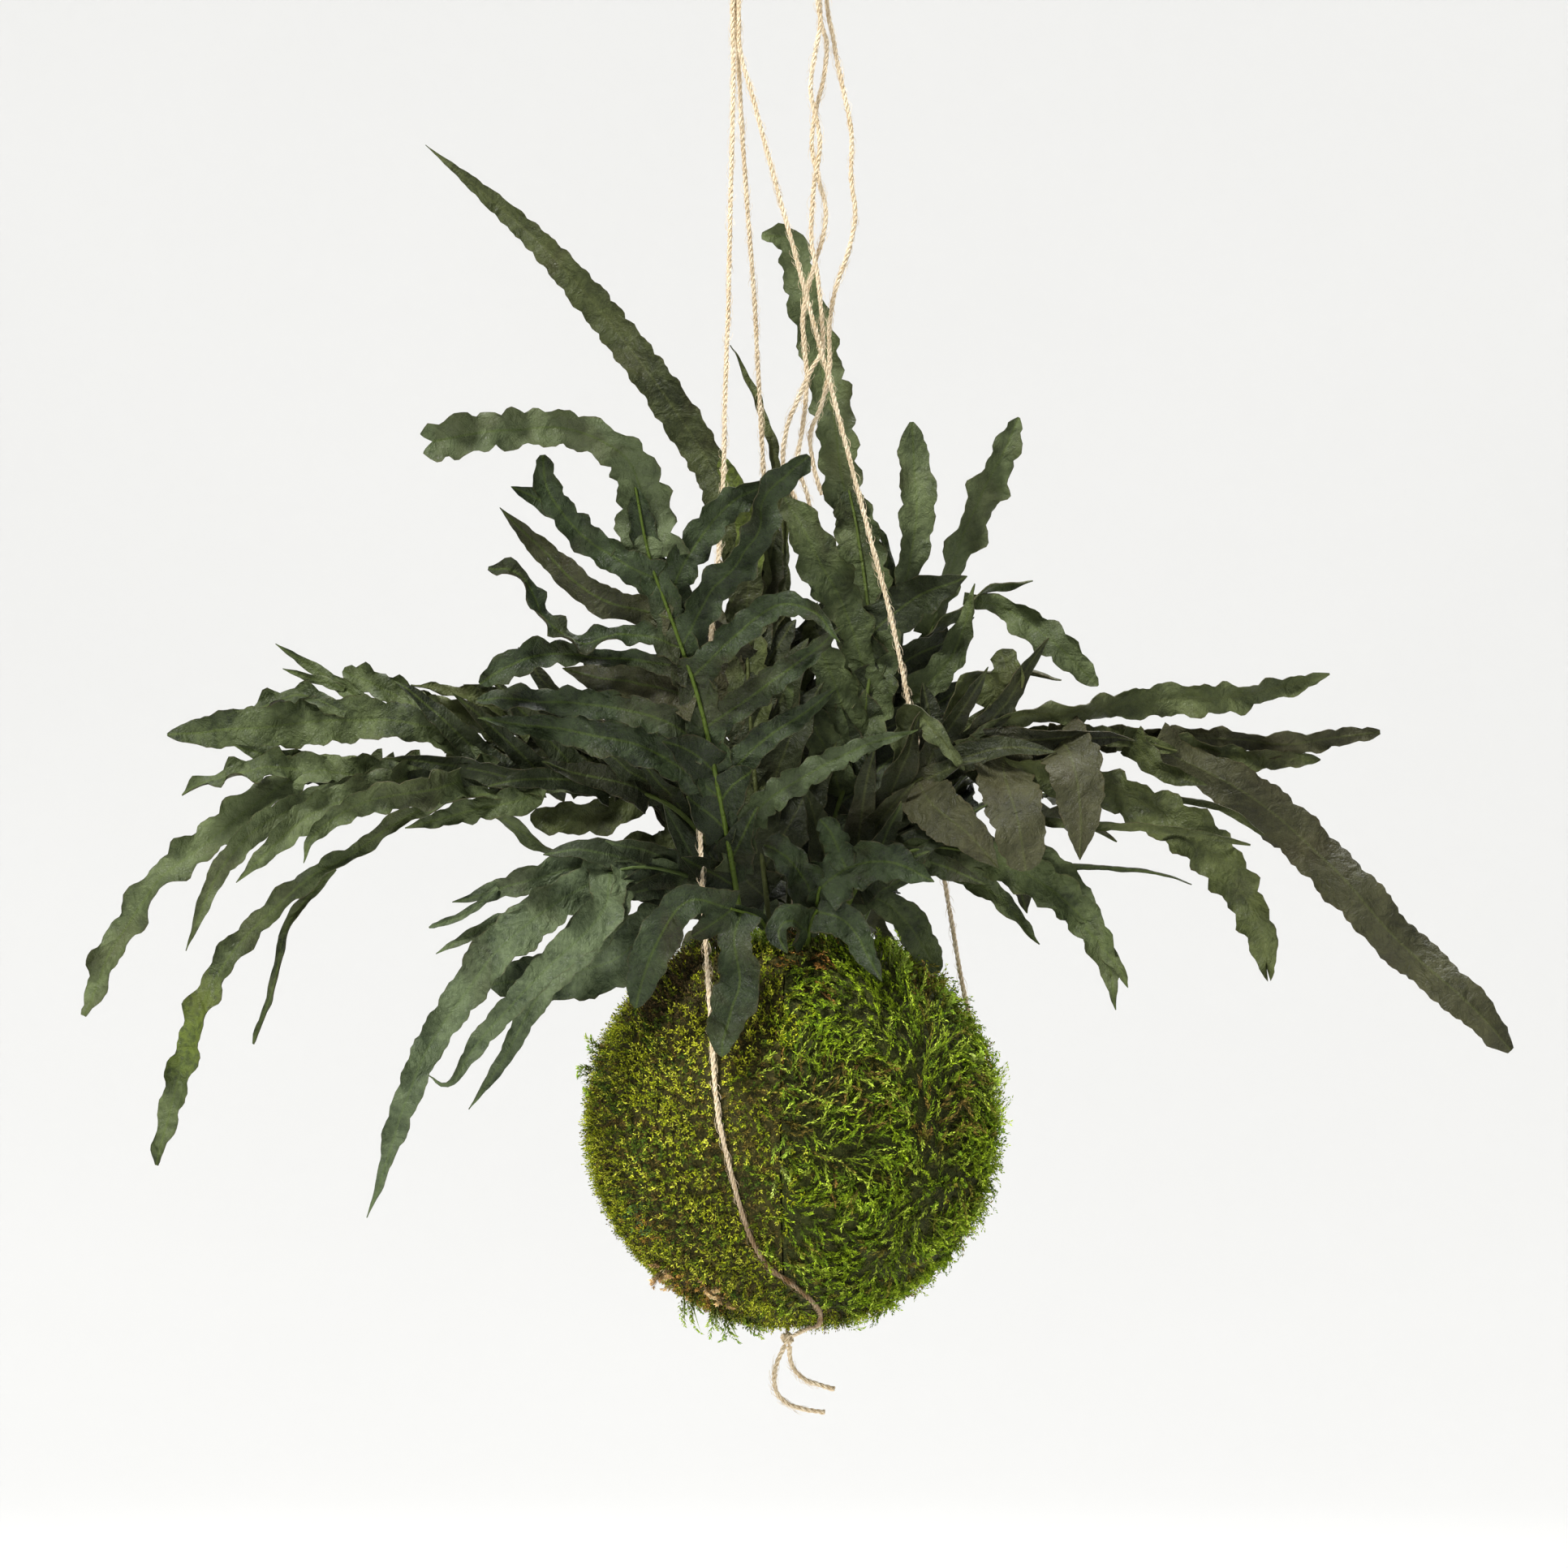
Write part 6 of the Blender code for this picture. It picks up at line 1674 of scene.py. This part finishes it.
@dataclass
class MossMaker:
    """Grows the shoots over the ball, all of a piece's shoots at once."""

    strings: list[Array]
    foot: float = 71.2  # the shoots' feet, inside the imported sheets' surface
    crown_foot: float = 61.0
    lying: float = 80.0  # a string this near the ball's centre lies on the moss
    scatter: Pair = (1.2, 1.3)  # how unevenly the feet stand up and down and round the ball
    foot_lump: float = 0.765  # millimetres that the feet rise and sink where the coat swells
    length_lump: float = 0.22  # the share by which the shoots' length does
    lump_size: float = 3.1
    edge_wander: float = 4.0  # degrees that the border between two kinds of moss wanders
    edge_waves: Pair = (7.0, 3.1)  # degrees to a radian of its two waves
    edge_blur: float = 5.5  # degrees over which two kinds of moss grow through each other
    string_gap: float = 1.7  # how near to a string a shoot may stand
    string_reach: float = 6.0  # how near a string shortens the shoots
    shortest: float = 0.55
    far: float = 99.0
    group_size: float = 9.0  # millimetres to a radian of the colours' waves
    stray_share: float = 0.55
    shades: Pair = (0.78, 1.22)  # the range of brightness from shoot to shoot
    swirl_size: float = 3.0
    swirl_stray: float = 0.9  # radians
    covered: Point = (-12.0, -43.0, 5.5)  # where moss has grown over the front string: X, Z and radius
    map_name: str = "OFBake"
    bend_stray: float = 0.35
    roots: Point = (0.0, 2.1, 4.2)  # radians to the three corners of a stem's foot
    root_share: float = 0.6
    stem_shade: float = 0.8
    first_leaf: float = 1.2  # leaf gaps below the lowest leaflet
    leaf_stray: float = 0.3
    leaf_turn: float = 0.5  # radians that a leaflet strays round its shoot
    opening: Pair = (1.1, 0.75)  # a shoot's splay at its foot, and its loss to the tip
    leaf_size: Pair = (0.75, 1.2)
    leaf_taper: Pair = (1.1, 0.45)  # a leaflet's size at a shoot's foot, and its loss to the tip
    leaf_shades: Pair = (0.8, 1.2)
    leaf_painted_shade: Pair = (0.62, 0.68)  # painted shade: a leaflet's brightness at the foot, and its gain to the tip
    keel: float = 0.22  # how deep a leaflet is, as a share of its width
    widest: float = 0.42  # where it is widest, as a share of its length
    curl: float = 0.12
    rise: float = 0.9  # how high on the scale of the foot's painted shade the top leaflets start
    tip_rise: float = 0.25
    wisp_stray: float = 1.6
    wisp_length: Pair = (0.75, 1.05)
    cell: tuple[Pair, ...] = ((0.15, 0.15), (0.85, 0.15), (0.15, 0.85), (0.85, 0.85))
    seed: int = 23

    def __post_init__(self) -> None:
        """Remember where the strings lie on the ball."""
        near = [route[np.linalg.norm(route, axis=1) < self.lying] for route in self.strings]
        self.places = np.concatenate(near)

    def feet(self, region: Region, chance: Chance) -> Array:
        """Spread a region's shoots over the ball.

        Args:
            region: the part of the ball that they cover.
            chance: the seeded chance.

        Returns:
            The directions from the ball's centre to their feet.
        """
        count = round(4 * math.pi * self.foot ** 2 / region.growth.area_each)
        number = np.arange(count) + 0.5
        up_stray, round_stray = (scatter / count ** 0.5 for scatter in self.scatter)
        height = np.clip(1 - 2 * number / count + chance.normal(0, up_stray, count), -1, 1)
        turn = number * GOLDEN_TURN + chance.normal(0, round_stray, count)
        flat = np.sqrt(1 - height ** 2)
        way = np.stack([flat * np.cos(turn), flat * np.sin(turn), height], axis=1)
        around = np.degrees(np.arctan2(way[:, 1], way[:, 0]))
        slope = np.degrees(np.arccos(height))
        slow, quick = self.edge_waves
        wander = self.edge_wander * (np.sin(slope / slow) + 0.6 * np.sin(slope / quick + 1.0))
        wander = wander + np.random.default_rng(count).normal(0, self.edge_blur, count)
        first, last = region.turn
        full = last - first >= 360
        shifted = (around - wander - first) % 360
        inside = full | (shifted < last - first)
        low, high = region.slope
        tilt = slope + 0.5 * self.edge_wander * np.sin(np.radians(around) * 9)
        return way[inside & (tilt >= low) & (tilt < high)]

    def swell(self, way: Array) -> Array:
        """Return how far the coat swells out at each direction, from -1 to 1."""
        x, y, z = way.T * self.lump_size
        return (np.sin(2.1 * x + 1.3 * z) * np.sin(1.7 * y + 0.4) + 0.6 * np.sin(4.3 * z + 2.2 * x + 1)
                * np.cos(3.9 * y - 1.1 * x)) / 1.4

    def thickness(self, way: Array) -> Array:
        """Work out how long the shoots grow at each direction.

        Args:
            way: the directions.

        Returns:
            The share of their usual length.
        """
        share = np.ones(len(way))
        for bulge in BULGES:
            apart = np.arccos(np.clip(way @ unit(np.array(bulge.way)), -1, 1))
            share = share + bulge.growth * np.exp(-(apart / bulge.reach) ** 2)
        return share

    def colours(self, region: Region, feet: Array, chance: Chance) -> Array:
        """Draw each shoot's colour: from the palette in loose groups, with the spots over it, some of them
        painted shade.

        Args:
            region: what gives the palette.
            feet: where the shoots stand.
            chance: the seeded chance.

        Returns:
            The colours, one row each.
        """
        palette = np.array(region.colours.colours)[:, :3]
        x, y, z = feet.T / self.group_size
        group = 0.5 + 0.25 * (np.sin(x * 1.7 + z) + np.sin(z * 1.9 - y * 1.3 + 1))
        pick = np.clip(self.stray_share * chance.random(len(feet)) + (1 - self.stray_share) * group, 0, 1)
        order = np.argsort(np.argsort(pick)) / max(1, len(feet))
        limits = np.cumsum(region.colours.shares) / sum(region.colours.shares)
        colour = palette[np.minimum(np.searchsorted(limits, order), len(palette) - 1)]
        # some patches are painted shade under the fronds
        for spot in SPOTS_AND_PAINTED_SHADE:
            apart = np.hypot(feet[:, 0] - spot.across, feet[:, 2] - spot.height)
            near = np.exp(-(apart / spot.radius) ** 4) * spot.strength * (feet[:, 1] < 0)
            taken = (chance.random(len(feet)) < near)[:, None]
            colour = np.where(taken, np.array(spot.colour[:3]), colour)
        return colour * chance.uniform(*self.shades, (len(feet), 1))

    def crowding(self, feet: Array) -> Array:
        """Measure how close each foot is to the nearest string.

        Args:
            feet: where the shoots stand.

        Returns:
            The distances in millimetres.
        """
        gap = np.full(len(feet), self.far)
        for place in self.places[::2]:
            outward = place / np.linalg.norm(place)
            gap = np.minimum(gap, np.linalg.norm(feet - outward * self.foot, axis=1))
        x, z, radius = self.covered
        grown_over = (np.hypot(feet[:, 0] - x, feet[:, 2] - z) < radius) & (feet[:, 1] < 0)
        return np.where(grown_over, self.far, gap)

    def coat(self, region: Region, number: int) -> Piece:
        """Grow one region's shoots.

        Args:
            region: what grows, and where.
            number: the region's place in the table, which seeds its chance.

        Returns:
            The shoots as one piece.
        """
        chance = np.random.default_rng(self.seed + number)
        growth = region.growth
        way = self.feet(region, chance)
        foot, lump = (self.crown_foot, 0.0) if growth is CROWN_GROWTH else (self.foot, self.foot_lump)
        gap = self.crowding(way * self.foot)
        keep = gap > self.string_gap
        way, gap = way[keep], gap[keep]
        swell = self.swell(way)
        base = way * (foot + lump * swell[:, None])
        length = chance.uniform(*growth.length, len(way)) * (1 + self.length_lump * swell)
        free = ease((gap - self.string_gap) / self.string_reach)
        length = length * self.thickness(way) * (self.shortest + (1 - self.shortest) * free)
        heading = self.headings(way, growth, chance)
        shape = MeshData()
        self.grow(shape, base, heading, way, length, self.colours(region, base, chance), growth, chance)
        coat = shape.piece(region.name, region.finish.material(), region.finish.slot, 30.0)
        self.map_leaflets(coat.data)
        return coat

    def map_leaflets(self, mesh: bpy.types.Mesh) -> None:
        """Give each leaflet a cell of its own in the UV map named map_name.

        Args:
            mesh: the coat's mesh.
        """
        corner = np.empty(len(mesh.loops), np.int32)
        mesh.loops.foreach_get("vertex_index", corner)
        leaflet, corner = np.divmod(corner, len(self.cell))
        side = math.ceil(math.sqrt(len(mesh.vertices) / len(self.cell)))
        cell = np.stack([leaflet % side, leaflet // side], axis=1)
        places = (cell + np.array(self.cell)[corner]) / side
        mesh.uv_layers.new(name=self.map_name).uv.foreach_set("vector", places.astype(np.float32).ravel())

    def headings(self, way: Array, growth: Growth, chance: Chance) -> Array:
        """Lean shoots over in loose swirls.

        Args:
            way: the directions straight out of the ball at their feet.
            growth: what kind of moss they are.
            chance: the seeded chance.

        Returns:
            The directions in which they set off.
        """
        level = unit(np.cross(way, (0.13, 0.21, 0.97)))
        upright = np.cross(way, level)
        x, y, z = way.T * self.swirl_size
        swirl = 2.6 * np.sin(x * 1.3 + z * 1.1 + 0.5) + 2.2 * np.cos(y * 1.9 - z * 1.4)
        swirl = swirl + chance.normal(0, self.swirl_stray, len(way))
        lean = np.radians(chance.uniform(*growth.lean, len(way)))
        return between(way, between(level, upright, swirl), lean)

    def grow(self, shape: MeshData, base: Array, heading: Array, outward: Array, length: Array,
             colour: Array, growth: Growth, chance: Chance) -> None:
        """Add shoots: a thin stem each, with leaflets that spiral up it.

        Args:
            shape: the mesh that gathers them.
            base: the shoots' feet.
            heading: the directions in which they set off.
            outward: the directions straight out of the ball at their feet.
            length: how long they are.
            colour: each shoot's colour.
            growth: what kind of moss they are.
            chance: the seeded chance.
        """
        first = unit(np.cross(heading, unit(outward + (0.31, 0.17, -0.23))))
        second = np.cross(heading, first)
        stray = chance.normal(0, self.bend_stray, (len(base), 1))
        bend = (stray * first - outward) * growth.droop * length[:, None]

        def along_shoot(share: Array) -> Array:
            """Return the place at a share of each shoot's length."""
            return base + heading * (length * share)[:, None] + bend * (share ** 2)[:, None]

        ones = np.ones(len(base))
        roots = [base + growth.stem * self.root_share * between(first, second, turn) for turn in self.roots]
        self.add_group(shape, (*roots, along_shoot(ones)), colour * self.stem_shade,
                       (0 * ones, 0 * ones, 0 * ones, self.rise * ones))
        leaf_length, leaf_width = growth.leaf
        splay = math.radians(growth.splay)
        for i in range(growth.leaves):
            place = i + self.first_leaf + chance.uniform(-self.leaf_stray, self.leaf_stray, len(base))
            share = np.clip(place / (growth.leaves + 0.4), 0, 1)
            start = along_shoot(share)
            ahead = unit(heading * length[:, None] + 2 * bend * share[:, None])
            turn = i * GOLDEN_TURN + chance.uniform(0, self.leaf_turn, len(base)) + first[:, 0] * 3
            aside = between(first, second, turn)
            opening = splay * (self.opening[0] - self.opening[1] * share ** 3)
            leaf_way = between(ahead, aside, opening)
            wide = unit(np.cross(leaf_way, ahead)) * leaf_width / 2
            size = chance.uniform(*self.leaf_size, len(base))
            size = (size * (self.leaf_taper[0] - self.leaf_taper[1] * share))[:, None]
            keel = unit(np.cross(wide, leaf_way)) * leaf_width * self.keel
            middle = start + leaf_way * leaf_length * self.widest * size
            end = start + leaf_way * leaf_length * size + aside * leaf_length * self.curl
            rise = share * self.rise
            tint = colour * chance.uniform(*self.leaf_shades, (len(base), 1))
            # painted shade: leaflets low on a shoot are darker than those near its tip
            tint = tint * (self.leaf_painted_shade[0] + self.leaf_painted_shade[1] * share[:, None])
            self.add_group(shape, (start, middle + wide * size - keel, middle - wide * size - keel, end),
                           tint, (rise, rise, rise, np.minimum(rise + self.tip_rise, 1)))

    def add_group(self, shape: MeshData, corners: tuple[Array, Array, Array, Array], colour: Array,
                  rise: tuple[Array, Array, Array, Array]) -> None:
        """Add one closed, four-faced leaflet or stem for each row of the corners.

        Args:
            shape: the mesh that gathers them.
            corners: where each of the four corners is.
            colour: one colour each.
            rise: each corner's height on its shoot.
        """
        count = len(corners[0])
        points = np.stack(corners, axis=1).reshape(-1, 3)
        number = np.arange(count)[:, None] * 4
        faces = np.concatenate([number + (0, 1, 3), number + (0, 3, 2), number + (0, 2, 1),
                                number + (1, 2, 3)])
        shape.add(points, faces, tint=np.repeat(colour, 4, axis=0),
                  rise=np.stack(rise, axis=1).ravel())

    def wisps(self) -> Piece:
        """Return the long shoots that stand out from the ball."""
        chance = np.random.default_rng(self.seed)
        shape = MeshData()
        for wisp in WISPS:
            start, end = np.array(wisp.start, float), np.array(wisp.end, float)
            base = start + chance.normal(0, wisp.spread / 2, (wisp.count, 3))
            heading = end - start + chance.normal(0, self.wisp_stray, (wisp.count, 3))
            length = np.linalg.norm(end - start) * chance.uniform(*self.wisp_length, wisp.count)
            palette = np.array(DRY_COLOURS if wisp.dry else WISP_COLOURS)[:, :3]
            colour = palette[chance.integers(0, 3, wisp.count)]
            self.grow(shape, base, unit(heading), unit(base), length, colour, WISP_GROWTH, chance)
        tufts = shape.piece("moss_wisps", BRIGHT_MOSS.material(), BRIGHT_MOSS.slot, 30.0)
        self.map_leaflets(tufts.data)
        return tufts


# ---------------- the studio

@dataclass(frozen=True)
class Lamp:
    """One soft square light, placed in metres from the ball's centre."""

    name: str
    place: Point
    size: float  # the length of its sides
    watts: float
    target: Point = (0.0, 0.0, 0.12)
    colour: Point = (1.0, 1.0, 1.0)


@dataclass(frozen=True)
class Studio:
    """A pale bowl of a floor, soft lights and the camera."""

    air: float = 0.3  # the strength of the even light from all around
    lamps: tuple[Lamp, ...] = (
        Lamp("key", (-1.1, -1.3, 2.2), 0.7, 106.0, colour=(1.0, 0.985, 0.96)),
        Lamp("fill", (2.2, -1.8, 0.5), 1.4, 8.0, colour=(0.96, 0.98, 1.0)),
        Lamp("low", (-0.3, -0.75, -0.5), 0.4, 3.6, (0.0, 0.0, -0.08), (1.0, 0.98, 0.94)),
        Lamp("top", (0.5, 0.9, 2.0), 1.0, 52.0),
        Lamp("backdrop_left", (-1.4, 1.6, 1.9), 2.0, 86.0, (-0.5, 6.0, 0.2)),
        Lamp("backdrop_right", (1.4, 1.6, 1.9), 2.0, 77.0, (0.5, 6.0, 0.2)),
        Lamp("surround_left", (-1.8, -1.6, 2.4), 2.0, 38.0, (-3.0, -6.0, 0.2)),
        Lamp("surround_right", (1.8, -1.6, 2.4), 2.0, 38.0, (3.0, -6.0, 0.2)),
    )
    camera_place: Point = (-2.6, -1900.0, 122.3)  # millimetres from the ball's centre
    lens: float = 121.32
    sensor: float = 36.0
    sight: float = 50.0  # metres
    floor_drop: float = 0.62  # metres from the ball's centre down to the floor
    inner_rings: Point = (0.02, 1.0, 2.0)
    flat_radius: float = 3.6
    curve_radius: float = 2.4
    wall_top: float = 6.5
    segments: int = 96
    curve_steps: int = 24

    def camera(self) -> None:
        """Place the camera level with the middle of the plant, looking straight at it."""
        data = bpy.data.cameras.new("camera")
        data.sensor_width = self.sensor
        data.lens = self.lens
        data.clip_end = self.sight
        item = new_object("camera", data)
        item.location = CENTRE + np.array(self.camera_place) * MM
        item.rotation_euler = (math.radians(90), 0, 0)
        bpy.context.scene.camera = item

    def floor(self) -> None:
        """Turn a profile that is flat in the middle and curves up to a wall."""
        arc = np.linspace(0, math.pi / 2, self.curve_steps)
        radius = np.concatenate([self.inner_rings, self.flat_radius + self.curve_radius * np.sin(arc),
                                 [self.flat_radius + self.curve_radius]])
        height = np.concatenate([np.zeros(len(self.inner_rings)), self.curve_radius * (1 - np.cos(arc)),
                                 [self.wall_top]])
        turn = np.linspace(0, 2 * math.pi, self.segments, endpoint=False)
        points = np.stack([radius[:, None] * np.cos(turn), radius[:, None] * np.sin(turn),
                           np.broadcast_to(height[:, None], (len(radius), self.segments))], axis=-1)
        points = points.reshape(-1, 3) + CENTRE - (0, 0, self.floor_drop)
        faces = ring_faces(len(radius), self.segments).tolist() + [list(range(self.segments))[::-1]]
        item = new_object("studio_floor", new_mesh("studio_floor", points, faces, STUDIO_PAINT.material()))

    def light(self, lamp: Lamp) -> None:
        """Aim one soft square light, out of the camera's sight.

        Args:
            lamp: its place, aim, size and power.
        """
        data = bpy.data.lights.new(lamp.name, "AREA")
        data.size = lamp.size
        data.energy = lamp.watts
        data.color = lamp.colour
        item = new_object(lamp.name, data)
        item.location = CENTRE + np.array(lamp.place)
        item.rotation_euler = (Vector(lamp.place) - Vector(lamp.target)).to_track_quat("Z", "Y").to_euler()
        item.visible_camera = False

    def world(self) -> None:
        """Light everything evenly from all around."""
        world = bpy.data.worlds.new("studio_air")
        world.use_nodes = True
        sky = world.node_tree.nodes["Background"]
        sky.inputs["Color"].default_value = (1.0, 1.0, 1.0, 1.0)
        sky.inputs["Strength"].default_value = self.air
        bpy.context.scene.world = world

    def build(self) -> None:
        """Build the floor and the lights, and show colours as they are, without a film curve."""
        bpy.context.scene.view_settings.view_transform = "Standard"
        self.floor()
        self.world()
        for lamp in self.lamps:
            self.light(lamp)


# ---------------- everything together

@dataclass(frozen=True)
class Ball:
    """The ball: wet soil, the felted moss sheets around it and the living shoots over them."""

    felt: tuple[tuple[str, EarthFinish], ...] = (
        ("soil_ball", SOIL_FINISH), ("moss_left", FELT_OLIVE), ("moss_back", FELT_OLIVE),
        ("moss_base", FELT_OLIVE), ("moss_right", FELT_GREEN))
    string_step: float = 1.0  # millimetres

    def build(self) -> None:
        """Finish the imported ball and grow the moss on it."""
        for node, finish in self.felt:
            item = frame["nodes"][node]
            item.data.materials.clear()
            item.data.materials.append(finish.material())
        maker = MossMaker([smooth_route(twine.route, self.string_step) for twine in TAUT_STRINGS])
        for number, region in enumerate(REGIONS):
            maker.coat(region, number)
        maker.wisps()


def main() -> None:
    """Build the camera and the cords, then the fronds, the ball and the studio."""
    logging.basicConfig(level=logging.INFO, format="%(message)s")
    studio = Studio()
    studio.camera()
    Hanger().build()
    builder = FrondBuilder()
    for number, frond in enumerate(FRONDS):
        builder.build(frond, number)
    Ball().build()
    studio.build()


if __name__ == "__main__":
    main()
